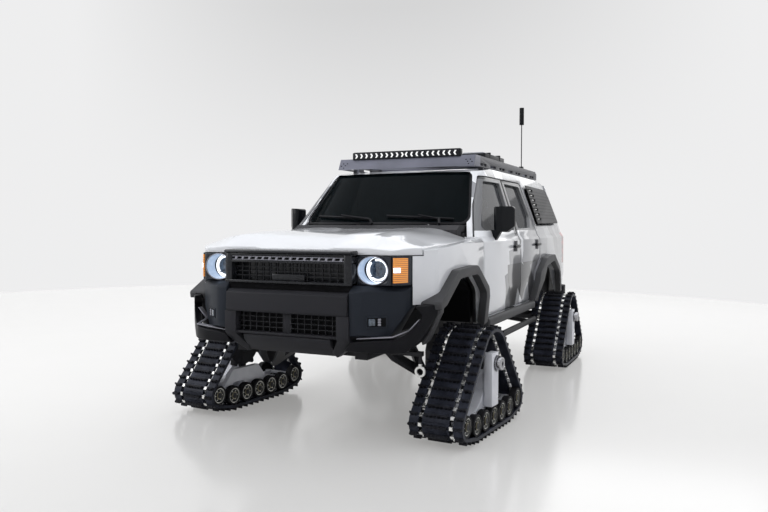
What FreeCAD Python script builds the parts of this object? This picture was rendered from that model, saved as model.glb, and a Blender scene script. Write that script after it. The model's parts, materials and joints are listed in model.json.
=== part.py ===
import FreeCAD, Part
import math
import os

import Sketcher

# A full-size off-road estate car that stands on four rubber-track units in place of its wheels.
# Millimetres. +Z is up, the front faces -Y and the car's left is +X. The origin is on the ground,
# on the centreline, half-way along the car.

Vector = FreeCAD.Vector
Rotation = FreeCAD.Rotation
doc = FreeCAD.newDocument("TrackedSuv")

# ---------------------------------------------------------------- driving dimensions

DRIVING = [
    # overall and running gear
    ("overall_length", 4920), ("front_axle_y", -1560), ("wheelbase", 2850), ("hub_z", 485),
    # body shell: half widths and ends of the plan outline at four heights
    ("sill_z", 650), ("waist_z", 900), ("belt_z", 1305), ("shoulder_z", 1345), ("crown_z", 1975),
    ("sill_half", 900), ("waist_half", 930), ("belt_half", 925), ("shoulder_half", 897), ("tumblehome", 0.33),
    ("dash_y", -1090), ("screen_y", -1190), ("tail_y", 2340), ("screen_slope", 1.05), ("tail_slope", 0.22),
    ("cant_z", 1845), ("roof_half", 625), ("taper_y", 830), ("taper_angle", 2.2),
    ("nose_cut_x", 208), ("nose_cut_y", 263), ("tail_corner", 190), ("pillar_corner", 150),
    ("screen_flat", 400), ("screen_sweep", 0.4545), ("screen_round", 900),
    ("door_wall", 75), ("side_wall", 128), ("roof_wall", 35), ("glass_inset", 28), ("glass_wall", 6),
    ("gap", 10), ("flare_stand", 56),
    ("floor_z", 720), ("floor_wall", 30),
    # doors
    ("front_door_y", -1070), ("door_split_y", 45), ("rear_door_y", 800), ("door_low_z", 730),
    # nose
    ("nose_y", -2330), ("bonnet_front_z", 1252), ("bonnet_edge_z", 1308), ("bonnet_crown", 95),
    ("bonnet_half", 850), ("cowl_y", -1150),
    # track units
    ("track_x", 985), ("belt_width", 380), ("belt_wall", 22), ("lug_height", 24), ("lug_count", 40),
    ("sprocket_radius", 215), ("idler_radius", 73), ("idler_y", 472), ("idler_z", 150),
    ("roller_radius", 73), ("roller_z", 119), ("roller_pitch", 152),
    ("kingpin_x", 700), ("steer_angle", -5),
    # chassis
    ("rail_x", 460), ("rail_width", 90), ("rail_low_z", 560), ("rail_height", 130),
]

sheet = doc.addObject("Spreadsheet::Sheet", "Sizes")
for row, (alias, value) in enumerate(DRIVING, start=1):
    sheet.set(f"A{row}", alias.replace("_", " "))
    sheet.set(f"B{row}", str(value))
    sheet.setAlias(f"B{row}", alias)
doc.recompute()


class Size:
    """A length that carries its number and the sheet expression that it is worked out from."""

    def __init__(self, value, text):
        self.value = value
        self.text = text

    def __add__(self, other):
        other = size(other)
        return Size(self.value + other.value, f"({self.text} + {other.text})")

    def __radd__(self, other):
        return size(other) + self

    def __sub__(self, other):
        other = size(other)
        return Size(self.value - other.value, f"({self.text} - {other.text})")

    def __rsub__(self, other):
        return size(other) - self

    def __mul__(self, other):
        other = size(other)
        return Size(self.value * other.value, f"({self.text} * {other.text})")

    def __rmul__(self, other):
        return size(other) * self

    def __truediv__(self, other):
        other = size(other)
        return Size(self.value / other.value, f"({self.text} / {other.text})")

    def __neg__(self):
        return Size(-self.value, f"(0 - {self.text})")


def size(value):
    if isinstance(value, Size):
        return value
    return Size(float(value), f"({float(value):.4f})")


class Cells:
    """Gives each alias of the sheet as a Size."""

    def __getattr__(self, alias):
        return Size(float(sheet.get(alias)), f"Sizes.{alias}")


c = Cells()

# ---------------------------------------------------------------- modelling helpers

PLANES = {
    "XY": Rotation(),
    "XZ": Rotation(Vector(1, 0, 0), 90),
    "YZ": Rotation(Vector(1, 1, 1), 120),
}
NORMALS = {"XY": "z", "XZ": "y", "YZ": "x"}


def bind(obj, prop, value):
    obj.setExpression(prop, size(value).text)


def place(obj, x, y, z, turn=None):
    """Puts an object at a point worked out from the sheet."""
    at = [size(v) for v in (x, y, z)]
    obj.Placement = FreeCAD.Placement(Vector(*[v.value for v in at]), turn or Rotation())
    for axis, value in zip("xyz", at):
        if not value.text.startswith("(") or "Sizes" in value.text:
            obj.setExpression(f"Placement.Base.{axis}", value.text)


def unit(start, end):
    step = end - start
    return step / step.Length


def add_circle(drawing, across, up, radius):
    index = drawing.addGeometry(Part.Circle(Vector(across.value, up.value, 0), Vector(0, 0, 1), radius.value))
    for kind, args, value in (("DistanceX", (-1, 1, index, 3), across), ("DistanceY", (-1, 1, index, 3), up),
                              ("Radius", (index,), radius)):
        number = drawing.addConstraint(Sketcher.Constraint(kind, *args, value.value))
        drawing.setExpression(f"Constraints[{number}]", value.text)


def hold_point(drawing, index, end, across, up):
    """Fixes a point of the sketch at its two sheet values."""
    for kind, value in (("DistanceX", across), ("DistanceY", up)):
        number = drawing.addConstraint(Sketcher.Constraint(kind, -1, 1, index, end, value.value))
        drawing.setExpression(f"Constraints[{number}]", value.text)


def add_loop(drawing, outline):
    """Draws a closed outline of straight sides. A third value at a point rounds that corner."""
    corners = [tuple(size(v) for v in point) for point in outline]
    spots = [Vector(p[0].value, p[1].value, 0) for p in corners]
    count = len(spots)
    starts, ends, arcs = list(spots), list(spots), [None] * count
    for i, point in enumerate(corners):
        if len(point) == 3:
            back = unit(spots[i], spots[i - 1])
            ahead = unit(spots[i], spots[(i + 1) % count])
            half = back.getAngle(ahead) / 2
            reach = point[2].value / math.tan(half)
            centre = spots[i] + unit(Vector(), back + ahead) * (point[2].value / math.sin(half))
            ends[i] = spots[i] + back * reach
            starts[i] = spots[i] + ahead * reach
            middle = centre + unit(centre, spots[i]) * point[2].value
            arcs[i] = Part.Arc(ends[i], middle, starts[i])
    lines = []
    for i in range(count):
        follow = (i + 1) % count
        lines.append(drawing.addGeometry(Part.LineSegment(starts[i], ends[follow])))
    for i, point in enumerate(corners):
        before, after = lines[i - 1], lines[i]
        if arcs[i] is None:
            drawing.addConstraint(Sketcher.Constraint("Coincident", before, 2, after, 1))
            hold_point(drawing, after, 1, point[0], point[1])
            continue
        arc = drawing.addGeometry(arcs[i])
        first, last = drawing.getPoint(arc, 1), drawing.getPoint(arc, 2)
        near, far = (1, 2) if first.distanceToPoint(ends[i]) < last.distanceToPoint(ends[i]) else (2, 1)
        drawing.addConstraint(Sketcher.Constraint("Tangent", before, 2, arc, near))
        drawing.addConstraint(Sketcher.Constraint("Tangent", arc, far, after, 1))
        number = drawing.addConstraint(Sketcher.Constraint("Radius", arc, point[2].value))
        drawing.setExpression(f"Constraints[{number}]", point[2].text)
        vertex = drawing.addGeometry(Part.Point(spots[i]), True)
        drawing.addConstraint(Sketcher.Constraint("PointOnObject", vertex, 1, before))
        drawing.addConstraint(Sketcher.Constraint("PointOnObject", vertex, 1, after))
        hold_point(drawing, vertex, 1, point[0], point[1])


def circle(across, up, radius):
    return ("circle", size(across), size(up), size(radius))


def draw(name, plane, loops, offset=0, body=None):
    """Makes a sketch of outlines on a main plane, or on its parallel at an offset."""
    if body:
        drawing = body.newObject("Sketcher::SketchObject", name)
        role = f"{plane}_Plane"
        origin = [f for f in body.Origin.OriginFeatures if f.Role == role][0]
        drawing.AttachmentSupport = (origin, [""])
        drawing.MapMode = "FlatFace"
        sign = -1 if plane == "XZ" else 1
        bind(drawing, "AttachmentOffset.Base.z", sign * size(offset))
    else:
        drawing = doc.addObject("Sketcher::SketchObject", name)
        where = {"x": 0, "y": 0, "z": 0, NORMALS[plane]: offset}
        place(drawing, where["x"], where["y"], where["z"], PLANES[plane])
    for loop in loops:
        if loop[0] == "circle":
            add_circle(drawing, *loop[1:])
        else:
            add_loop(drawing, loop)
    return drawing


def extrude(name, plane, loops, start, end):
    """A prism of the outlines between two places along the plane's normal."""
    if isinstance(loops[0], tuple) and loops[0][0] != "circle":
        loops = [loops]
    solid = doc.addObject("Part::Extrusion", name)
    solid.Base = draw(name + "Outline", plane, loops, start)
    solid.DirMode = "Normal"
    solid.Solid = True
    solid.Reversed = plane == "XZ"
    bind(solid, "LengthFwd", size(end) - size(start))
    return solid


def loft(name, sections):
    """A ruled solid through plan outlines, each given with its height."""
    solid = doc.addObject("Part::Loft", name)
    solid.Sections = [draw(f"{name}Section{i}", "XY", [outline], height)
                      for i, (height, outline) in enumerate(sections)]
    solid.Solid = True
    solid.Ruled = True
    return solid


def revolve(name, plane, outline, axis, x=0, y=0, z=0):
    """A solid turned about a main axis through a point. The outline is relative to that point."""
    solid = doc.addObject("Part::Revolution", name)
    profile = draw(name + "Profile", plane, [outline])
    place(profile, x, y, z, PLANES[plane])
    solid.Source = profile
    solid.Axis = {"X": Vector(1, 0, 0), "Y": Vector(0, 1, 0), "Z": Vector(0, 0, 1)}[axis]
    for part, value in zip("xyz", (x, y, z)):
        bind(solid, f"Base.{part}", value)
    solid.Angle = 360
    solid.Solid = True
    return solid


def box(name, low, high):
    solid = doc.addObject("Part::Box", name)
    for prop, a, b in zip(("Length", "Width", "Height"), low, high):
        bind(solid, prop, size(b) - size(a))
    place(solid, *low)
    return solid


def rod(name, start, end, radius):
    """A round bar between two points."""
    solid = doc.addObject("Part::Cylinder", name)
    tail = Vector(*[size(v).value for v in start])
    tip = Vector(*[size(v).value for v in end])
    bind(solid, "Radius", radius)
    solid.Height = (tip - tail).Length
    place(solid, *start, Rotation(Vector(0, 0, 1), tip - tail))
    return solid


def fuse(name, *shapes):
    solid = doc.addObject("Part::MultiFuse", name)
    solid.Shapes = list(shapes)
    return solid


def common(name, *shapes):
    solid = doc.addObject("Part::MultiCommon", name)
    solid.Shapes = list(shapes)
    return solid


def cut(name, base, *tools):
    solid = doc.addObject("Part::Cut", name)
    solid.Base = base
    solid.Tool = tools[0] if len(tools) == 1 else fuse(name + "Tools", *tools)
    return solid


def mirror(name, source):
    """The same shape on the other side of the car."""
    solid = doc.addObject("Part::Mirroring", name)
    solid.Source = source
    solid.Base = Vector(0, 0, 0)
    solid.Normal = Vector(1, 0, 0)
    return solid


def group(name, *shapes):
    solids = doc.addObject("Part::Compound", name)
    solids.Links = list(shapes)
    return solids


def both(name, source):
    return group(name, source, mirror(name + "Mirror", source))


nodes = {}


def node(label, shape):
    """Names a sub-part. Its label is also its file's name."""
    shape.Label = label
    nodes[label] = shape


rear_axle_y = c.front_axle_y + c.wheelbase
half_length = c.overall_length / 2
FAR = 3000

# ---------------------------------------------------------------- body envelope

side_top = c.crown_z + 225
side_lean = c.tumblehome * (side_top - c.shoulder_z)
taper = Rotation(Vector(0, 0, 1), c.taper_angle.value)


def side_face(inset):
    """The left side's section at a depth below its outer skin, from the sill to above the roof."""
    return [(c.sill_half - inset, c.sill_z), (c.waist_half - inset, c.waist_z),
            (c.belt_half - inset, c.belt_z), (c.shoulder_half - inset, c.shoulder_z),
            (c.shoulder_half - side_lean - inset, side_top)]


def side_zone(name, near, far):
    """The left wall of the cabin between two depths below its outer skin."""
    return extrude(name, "XZ", side_face(far) + side_face(near)[::-1], c.nose_y, c.tail_y + 100)


def rear_side_zone(name, near, far):
    """The same wall behind the rear doors, where the side draws in towards the tail."""
    solid = extrude(name, "XZ", side_face(far) + side_face(near)[::-1], 0, FAR / 2)
    place(solid, 0, c.taper_y, 0, taper)
    return solid


def tail_zone(name, near, far):
    """The rear wall of the cabin between two depths below its outer skin."""
    lean = c.tail_slope * (side_top - c.shoulder_z)

    def face(inset):
        return [(c.tail_y - inset, c.sill_z), (c.tail_y - inset, c.shoulder_z),
                (c.tail_y - lean - inset, side_top)]

    return extrude(name, "YZ", face(far) + face(near)[::-1], -1000, 1000)


def screen_plan(depth):
    """The windscreen's line across the car at shoulder height, swept back towards both pillars."""
    middle = c.screen_y + depth
    end = middle + c.screen_sweep * (1000 - c.screen_flat)
    return [(-1000, end), (-c.screen_flat, middle, c.screen_round), (c.screen_flat, middle, c.screen_round),
            (1000, end)]


def screen_prism(name, outline):
    """A plan outline carried up and back along the windscreen's slope."""
    solid = doc.addObject("Part::Extrusion", name)
    solid.Base = draw(name + "Outline", "XY", [outline], c.shoulder_z)
    solid.DirMode = "Custom"
    solid.Dir = Vector(0, c.screen_slope.value, 1)
    solid.Solid = True
    bind(solid, "LengthFwd", (side_top - c.shoulder_z) * math.hypot(1, c.screen_slope.value))
    return solid


def screen_zone(name, near, far):
    """The windscreen's sheet between two depths, measured along the car."""
    return screen_prism(name, screen_plan(near) + screen_plan(far)[::-1])


def full_section(inset, first, last):
    """The side's section on both sides of the car, joined into one outline."""
    left = side_face(inset)[first:last]
    return left + [(-x, z) for x, z in left[::-1]]


def upright_edges(solid, front):
    """Numbers of the edges that run up the front or the rear corners of a solid."""
    doc.recompute()
    outermost = c.shoulder_half.value - 50
    found = []
    for number, edge in enumerate(solid.Shape.Edges, start=1):
        low, high = edge.Vertexes[0].Point, edge.Vertexes[-1].Point
        runs_up = abs(low.z - high.z) > 100
        at_side = max(abs(low.x), abs(high.x)) > outermost
        if runs_up and at_side and (min(low.y, high.y) < 0) == front:
            found.append(number)
    return found


def round_corners(name, source, front_radius, rear_radius):
    solid = doc.addObject("Part::Fillet", name)
    solid.Base = source
    numbers = [(n, front_radius) for n in upright_edges(source, True)]
    numbers += [(n, rear_radius) for n in upright_edges(source, False)]
    solid.Edges = [(n, radius.value, radius.value) for n, radius in numbers]
    return solid


# Lower body: the side's section, closed by a plan whose nose corners are cut off and tail corners rounded.
plan_half = c.waist_half + 2
nose_plan = [(-plan_half, c.nose_y + c.nose_cut_y, 90), (c.nose_cut_x - plan_half, c.nose_y, 70),
             (plan_half - c.nose_cut_x, c.nose_y, 70), (plan_half, c.nose_y + c.nose_cut_y, 90)]
lower_body = common("LowerBody",
                    extrude("LowerSection", "XZ", full_section(0, 0, 4), -FAR, FAR),
                    extrude("LowerPlan", "XY",
                            nose_plan + [(plan_half, c.tail_y, c.tail_corner),
                                         (-plan_half, c.tail_y, c.tail_corner)],
                            c.sill_z, c.shoulder_z))
# Glasshouse: the leaning sides between the windscreen and the plane of the tailgate.
glasshouse_block = common("GlasshouseBlock",
                          extrude("GlasshouseSection", "XZ", full_section(0, 3, 5), -FAR, FAR),
                          screen_prism("ScreenLimit", screen_plan(0) + [(1000, FAR), (-1000, FAR)]),
                          extrude("TailLimit", "YZ",
                                  [(-FAR, c.shoulder_z), (c.tail_y, c.shoulder_z),
                                   (c.tail_y - c.tail_slope * (side_top - c.shoulder_z), side_top),
                                   (-FAR, side_top)], -1000, 1000))
glasshouse = round_corners("Glasshouse", glasshouse_block, c.pillar_corner, c.tail_corner)


def roof_limit(name, inset):
    """Everything below the roof's skin: crowned across the car and along it."""
    crown = c.crown_z - inset
    across = extrude(name + "Across", "XZ",
                     [(-1100, 0), (1100, 0), (1100, crown - 94), (0, crown + 36, 5200), (-1100, crown - 94)],
                     -FAR, FAR)
    along = extrude(name + "Along", "YZ",
                    [(-FAR, 0), (FAR, 0), (FAR, crown - 128), (1000, crown, 9000), (200, crown, 2600),
                     (-1500, crown - 200), (-FAR, crown - 200)], -1100, 1100)
    return common(name, across, along)


def taper_limit(name, inset):
    """Everything inside the left side's skin behind the rear doors, where it draws in."""
    solid = extrude(name, "XZ", side_face(inset) + [(-FAR, side_top), (-FAR, c.sill_z)], -2 * FAR, FAR)
    place(solid, 0, c.taper_y, 0, taper)
    return solid


tapered = taper_limit("TaperBlock", 0)
outer = common("Outer", fuse("Hull", lower_body, glasshouse), roof_limit("RoofSkin", 0),
               tapered, mirror("TaperBlockRight", tapered))

# ---------------------------------------------------------------- cabin panels

DEEP, WIDE = 300, 1100          # the cabin's left wall lies between these two distances from the centreline
front_door_end = c.door_split_y - c.gap / 2
rear_door_start = c.door_split_y + c.gap / 2
high_z = c.cant_z

front_door_edge = [
    (c.front_door_y, c.door_low_z, 30), (front_door_end - 2, c.door_low_z, 30),
    (front_door_end - 12, high_z), (-510, high_z, 40), (-965, 1395, 60), (c.front_door_y, 1345),
]
front_window_edge = [(-920, 1390, 25), (-65, 1400, 25), (-40, 1812, 25), (-505, 1806, 40)]
front_aperture = [
    (c.front_door_y + 45, c.door_low_z + 45, 60), (-45, c.door_low_z + 45, 60), (-45, high_z - 35, 40),
    (-485, high_z - 35, 40), (-905, 1390, 60), (c.front_door_y + 45, 1330),
]
rear_door_edge = [
    (rear_door_start, c.door_low_z, 30), (430, c.door_low_z, 30), (600, 1010, 80), (c.rear_door_y, 1120, 60),
    (c.rear_door_y, 1400, 60), (705, high_z, 40), (rear_door_start, high_z),
]
rear_window_edge = [(145, 1405, 25), (590, 1413, 25), (706, 1520, 40), (650, 1808, 30), (125, 1815, 25)]
rear_aperture = [
    (140, c.door_low_z + 45, 60), (400, c.door_low_z + 45, 60), (560, 1040, 80), (c.rear_door_y - 45, 1150, 60),
    (c.rear_door_y - 45, 1395, 60), (668, high_z - 35, 40), (140, high_z - 35, 40),
]
quarter_window_edge = [(880, 1440, 40), (1960, 1450, 40), (1880, 1800, 40), (840, 1805, 40)]
rear_arch_edge = [
    (560, 600), (600, 780, 60), (850, 1040, 120), (1340, 1075, 200), (1640, 960, 150), (1900, 700, 40),
    (1900, 600),
]


def through(name, edge, start=DEEP, end=WIDE):
    """A cutter or a limit that runs through the left wall."""
    return extrude(name, "YZ", edge, start, end)


# Both door places share one recess in the body side, a little deeper than the doors.
door_recess_edge = [
    (c.front_door_y - c.gap, c.door_low_z - c.gap, 35), (441, c.door_low_z - c.gap, 30), (617, 1000, 80),
    (c.rear_door_y + c.gap + 7, 1109, 60), (c.rear_door_y + c.gap + 7, 1402, 60), (728, high_z + c.gap, 40),
    (-514, high_z + c.gap, 40), (-975, 1402, 60), (c.front_door_y - c.gap, 1350),
]
door_recess = common("DoorRecess", side_zone("RecessZone", -100, c.door_wall + 14),
                     through("DoorRecessEdge", door_recess_edge))
side_region = through("SideRegion", [(c.dash_y, 0), (2500, 0), (2500, 2200), (-1500, 2200),
                                     (-1500, c.shoulder_z + 3), (c.dash_y, c.shoulder_z + 3)],
                      c.roof_half + 5)
tail_opening = extrude("TailOpening", "XZ",
                       [(-790, 740), (790, 740), (800, 1400), (690, 1860), (690, 2100), (-690, 2100),
                        (-690, 1860), (-800, 1400)], 2000, 2500)
screen_edge = [(-765, 1440, 60), (765, 1440, 60), (645, 1888, 60), (-645, 1888, 60)]
screen_opening = extrude("ScreenOpening", "XZ", screen_edge, -1300, -300)
tail_lamp_place = box("TailLampPlace", (800, 2180, 1005), (1000, 2420, 1355))
left_side = cut("LeftSide",
                common("LeftSideShell", outer, side_zone("SideWall", -100, c.side_wall), side_region),
                door_recess, through("FrontAperture", front_aperture), through("RearAperture", rear_aperture),
                through("QuarterOpening", quarter_window_edge), through("RearArch", rear_arch_edge, 700),
                tail_opening, screen_opening, tail_lamp_place,
                box("BonnetSwing", (0, -1300, c.shoulder_z - 5), (c.bonnet_half + 12, c.cowl_y + 2, 1500)))
node("body_sides", both("BodySides", left_side))

roof_region = box("RoofRegion", (-c.roof_half, -700, 1650), (c.roof_half, 2125, 2100))
node("roof_panel", cut("RoofPanel", common("RoofPart", outer, roof_region),
                       roof_limit("RoofLining", c.roof_wall),
                       box("RoofScreenCut", (-640, -800, 1600), (640, -300, 1888)),
                       box("RoofTailCut", (-640, 2100, 1600), (640, 2400, 1905))))


def door(label, edge, window):
    """A left-hand door: the cabin's wall inside the door's edge, with its window cut."""
    panel = common(label + "Panel", outer, side_zone(label + "Zone", -100, c.door_wall),
                   through(label + "Edge", edge))
    return cut(label + "Left", panel, through(label + "Window", window))


def pane(name, zone, edge):
    """Glass that stands in the middle of a wall."""
    return common(name, zone(name + "Zone", c.glass_inset, c.glass_inset + c.glass_wall), edge)


for label, edge, window in (("front", front_door_edge, front_window_edge),
                            ("rear", rear_door_edge, rear_window_edge)):
    name = label.capitalize()
    panel = door(name + "Door", edge, window)
    glass = pane(name + "Pane", side_zone, through(name + "PaneEdge", window))
    node(f"{label}_door_left", panel)
    node(f"{label}_door_right", mirror(name + "DoorRight", panel))
    node(f"{label}_glass_left", glass)
    node(f"{label}_glass_right", mirror(name + "PaneRight", glass))
node("quarter_glass", both("QuarterGlass", pane("QuarterPane", rear_side_zone,
                                                through("QuarterPaneEdge", quarter_window_edge))))
glass_edge = [(-763, 1442, 60), (763, 1442, 60), (643, 1886, 60), (-643, 1886, 60)]
node("windscreen", pane("Windscreen", screen_zone, extrude("ScreenEdge", "XZ", glass_edge, -1300, -300)))

tail_window_edge = [(-690, 1400, 40), (690, 1400, 40), (600, 1800, 60), (-600, 1800, 60)]
tailgate_edge = [(-780, 750, 30), (780, 750, 30), (790, 1400), (680, 1860), (680, 2100), (-680, 2100),
                 (-680, 1860), (-790, 1400)]
node("tailgate", cut("Tailgate", common("TailgatePanel", outer, tail_zone("TailgateZone", -100, c.door_wall),
                                        extrude("TailgateEdge", "XZ", tailgate_edge, 2000, 2500)),
                     extrude("TailWindow", "XZ", tail_window_edge, 2000, 2500)))
node("tailgate_glass", pane("TailgateGlass", tail_zone,
                            extrude("TailGlassEdge", "XZ", tail_window_edge, 2000, 2500)))

rear_liner = common("RearLiner", side_zone("RearLinerZone", c.side_wall, c.side_wall + 25),
                    through("RearLinerEdge", [(530, 690), (560, 830), (830, 1090), (1360, 1120), (1690, 990),
                                              (1930, 690)]))
floor_sides = fuse("FloorSides", side_zone("FloorSideZone", -100, c.side_wall), rear_liner)
node("floor_pan", cut("FloorPan",
                      fuse("FloorForm",
                           box("Floor", (-820, c.dash_y + 20, c.floor_z), (820, 2210, c.floor_z + c.floor_wall)),
                           box("Bulkhead", (-760, c.dash_y + 10, c.floor_z), (760, c.dash_y + 40, 1270))),
                      floor_sides, mirror("FloorSidesRight", floor_sides)))

# ---------------------------------------------------------------- nose

fender_edge = [
    (c.nose_y - 20, 930), (c.nose_y + 50, 930), (-2170, 955), (-2060, 935), (-1790, 1085, 120),
    (-1400, 1090, 150), (-1170, 950, 100), (-1150, 700), (c.dash_y - 6, 680),
    (c.dash_y - 6, c.shoulder_z - 5), (c.nose_y - 20, 1262),
]


def bonnet_section(name, y, edge_z, crown):
    """A cross-section of the bonnet: flat below, crowned above, with a shallow dip along the middle."""
    half, low = c.bonnet_half, c.bonnet_front_z - 8
    drawing = doc.addObject("Sketcher::SketchObject", name)
    place(drawing, 0, y, 0, PLANES["XZ"])
    high = edge_z + crown
    dip = high - 9
    add_loop(drawing, [(-half, low), (half, low), (half, edge_z), (half * 0.66, high, 500),
                       (half * 0.36, high), (half * 0.30, dip), (half * -0.30, dip), (half * -0.36, high),
                       (half * -0.66, high, 500), (-half, edge_z)])
    return drawing


bonnet_block = doc.addObject("Part::Loft", "BonnetBlock")
bonnet_block.Sections = [bonnet_section("BonnetNose", c.nose_y - 8, c.bonnet_front_z + 10, 20),
                         bonnet_section("BonnetRise", c.nose_y + 150, c.bonnet_front_z + 34, 80),
                         bonnet_section("BonnetMiddle", c.nose_y + 450, c.bonnet_front_z + 48, 90),
                         bonnet_section("BonnetCowl", c.cowl_y - 10, c.bonnet_edge_z + 12, c.bonnet_crown)]
bonnet_block.Solid = True
bonnet_block.Ruled = True
bonnet_plan = extrude("BonnetPlan", "XY", nose_plan + [(plan_half, 0), (-plan_half, 0)], 1100, 1600)
bonnet_hollow = extrude("BonnetHollow", "YZ",
                        [(c.nose_y + 120, 1100), (c.cowl_y - 45, 1100), (c.cowl_y - 45, c.bonnet_edge_z),
                         (c.nose_y + 330, c.bonnet_front_z + 16), (c.nose_y + 120, c.bonnet_front_z - 2)],
                        80 - c.bonnet_half, c.bonnet_half - 80)
node("bonnet", cut("Bonnet", common("BonnetSkin", bonnet_block, bonnet_plan), bonnet_hollow))

cowl_edge = [(c.cowl_y + 8, 1320), (c.dash_y, 1270), (c.dash_y + 40, 1270), (-1050, 1385), (-930, 1385),
             (-930, 1436), (-1070, 1436), (c.cowl_y + 8, 1398)]
node("cowl", extrude("Cowl", "YZ", cowl_edge, -728, 728))

# Front bumper: a beam with two posts, a box-shaped unit at each corner and a lip that rises to the arch.
beam = extrude("BumperBeam", "YZ",
               [(-2310, 1006), (-2418, 1012), (-half_length, 985), (-half_length, 868), (-half_length + 12, 856),
                (-half_length + 12, 722), (-2400, 690), (-2345, 586), (-2250, 580), (-2250, 980)], -478, 478)
beam_front = extrude("BumperBeamFront", "XZ",
                     [(-478, 1030), (-478, 700), (-430, 640), (-335, 575), (335, 575), (430, 640), (478, 700),
                      (478, 1030)], -2600, -2200)
corner_unit = common("CornerUnit",
                     extrude("CornerUnitFront", "XZ",
                             [(440, 690), (724, 738, 30), (847, 852, 30), (855, 1046, 20), (560, 1052, 20),
                              (484, 1004, 20), (440, 1004)], -2600, -2100),
                     extrude("CornerUnitPlan", "XY",
                             [(440, -2436), (560, -2424, 20), (808, -2246, 30), (812, -2150), (440, -2150)],
                             500, 1200))
lip = common("BumperLip",
             extrude("BumperLipFront", "XZ",
                     [(335, 585), (478, 700), (774, 732, 60), (880, 836, 40), (890, 872), (850, 932),
                      (960, 932), (955, 880), (868, 700), (800, 640)], -2600, -2000),
             extrude("BumperLipPlan", "XY",
                     [(335, -2440), (740, -2408, 110), (890, -2250, 60), (958, -2145), (956, -2088),
                      (925, -2088), (860, -2200), (780, -2300), (335, -2330)], 500, 1200))
left_bumper = fuse("BumperLeft", corner_unit, lip)
node("front_bumper", cut("FrontBumper",
                         fuse("BumperForm", common("BumperCentre", beam, beam_front), left_bumper,
                              mirror("BumperRight", left_bumper)),
                         box("LowerOpening", (-395, -2600, 722), (395, -2350, 850)),
                         box("FogRecess", (578, -2500, 810), (682, -2312, 868)),
                         box("FogRecessRight", (-682, -2500, 810), (-578, -2312, 868))))

fender = fuse("Fender", common("FenderSide", outer, through("FenderEdge", fender_edge, c.bonnet_half + 8)),
              common("FenderCorner", outer,
                     box("FenderCornerBlock", (808, c.nose_y - 20, 930), (960, -2120, 1238))))
node("fenders", both("Fenders", cut("FenderLeft", fender, left_bumper)))

# Grille: one square hole, repeated across and up by the two patterns of its body.
grille_body = doc.addObject("PartDesign::Body", "GrilleBody")
doc.recompute()
plate = grille_body.newObject("PartDesign::Pad", "GrillePlate")
plate.Profile = draw("GrillePlateOutline", "XZ", [[(-432, 1060), (432, 1060), (432, 1190), (-432, 1190)]],
                     -2366, grille_body)
plate.Length = 12
hole = grille_body.newObject("PartDesign::Pocket", "GrilleHole")
hole.Profile = draw("GrilleHoleOutline", "XZ", [[(-424, 1066), (-364, 1066), (-364, 1101), (-424, 1101)]],
                    -2366, grille_body)
hole.Type = "ThroughAll"
hole.Midplane = True
pattern = grille_body.newObject("PartDesign::MultiTransform", "GrilleHoles")
pattern.Originals = [hole]
steps = []
for name, role, length, count in (("GrilleAcross", "X_Axis", 788, 13), ("GrilleUp", "Z_Axis", 83, 3)):
    row = grille_body.newObject("PartDesign::LinearPattern", name)
    row.Direction = ([f for f in grille_body.Origin.OriginFeatures if f.Role == role][0], [""])
    row.Length = length
    row.Occurrences = count
    steps.append(row)
pattern.Transformations = steps
grille_body.Tip = pattern
grille_frame = cut("GrilleFrame",
                   extrude("GrilleFrameSide", "YZ", [(-2335, 1030), (-2400, 1040), (-2400, 1192), (-2372, 1240),
                                                     (-2408, 1244), (-2400, 1262), (-2335, 1240)], -470, 470),
                   box("GrilleMouth", (-430, -2500, 1062), (430, -2300, 1188)))
node("grille", fuse("Grille", grille_frame, grille_body))

lamp_plan = [(474, -2352), (715, -2348, 30), (803, -2242), (803, -2215), (474, -2215)]
lamp_block = extrude("HeadlampPlan", "XY", lamp_plan, 1054, 1238)
lamp_x, lamp_z, well_y = 594, 1146, -2300
headlamp = fuse("Headlamp",
                cut("HeadlampHousing", lamp_block,
                    rod("HeadlampWell", (lamp_x, -2400, lamp_z), (lamp_x, well_y, lamp_z), 90)),
                rod("HeadlampProjector", (lamp_x, well_y - 15, lamp_z), (lamp_x, well_y + 10, lamp_z), 52))
node("headlamps", both("Headlamps", headlamp))

# ---------------------------------------------------------------- rear

rear_bumper_plan = [(-890, 2240), (890, 2240), (890, 2350, 60), (800, half_length, 120),
                    (-800, half_length, 120), (-890, 2350, 60)]
node("rear_bumper", cut("RearBumper", extrude("RearBumperBlock", "XY", rear_bumper_plan, 600, 735), outer,
                        box("RearBumperInside", (-760, 2200, 500), (760, 2352, 800))))
node("tail_lamps", both("TailLamps", common("TailLamp", outer, tail_lamp_place)))

# ---------------------------------------------------------------- arches and sills

front_flare_edge = [
    (-2179, 944, 20), (-1817, 1135, 120), (-1408, 1150, 150), (-1121, 967, 60), (-1095, 700), (-1181, 687),
    (-1200, 942, 60), (-1406, 1085, 150), (-1794, 1075, 120), (-2075, 921, 20), (-2170, 900),
]
rear_flare_edge = [
    (461, 722), (624, 975, 80), (917, 1113, 150), (1370, 1133, 200), (1680, 990, 150), (1960, 700),
    (1890, 690), (1640, 950, 150), (1345, 1065, 200), (936, 1035, 120), (612, 767, 80), (590, 700),
]


stand_off = common("StandOff", taper_limit("StandOffTaper", -c.flare_stand),
                   extrude("StandOffSection", "XZ", side_face(-c.flare_stand) + [(0, side_top), (0, c.sill_z)],
                           -FAR, FAR))


def moulding(name, edge):
    """A strip that stands off the body's side and fits its skin."""
    strip = common(name + "Strip", through(name + "Edge", edge, 700, 1100), stand_off)
    return cut(name, strip, outer, left_bumper)


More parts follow.
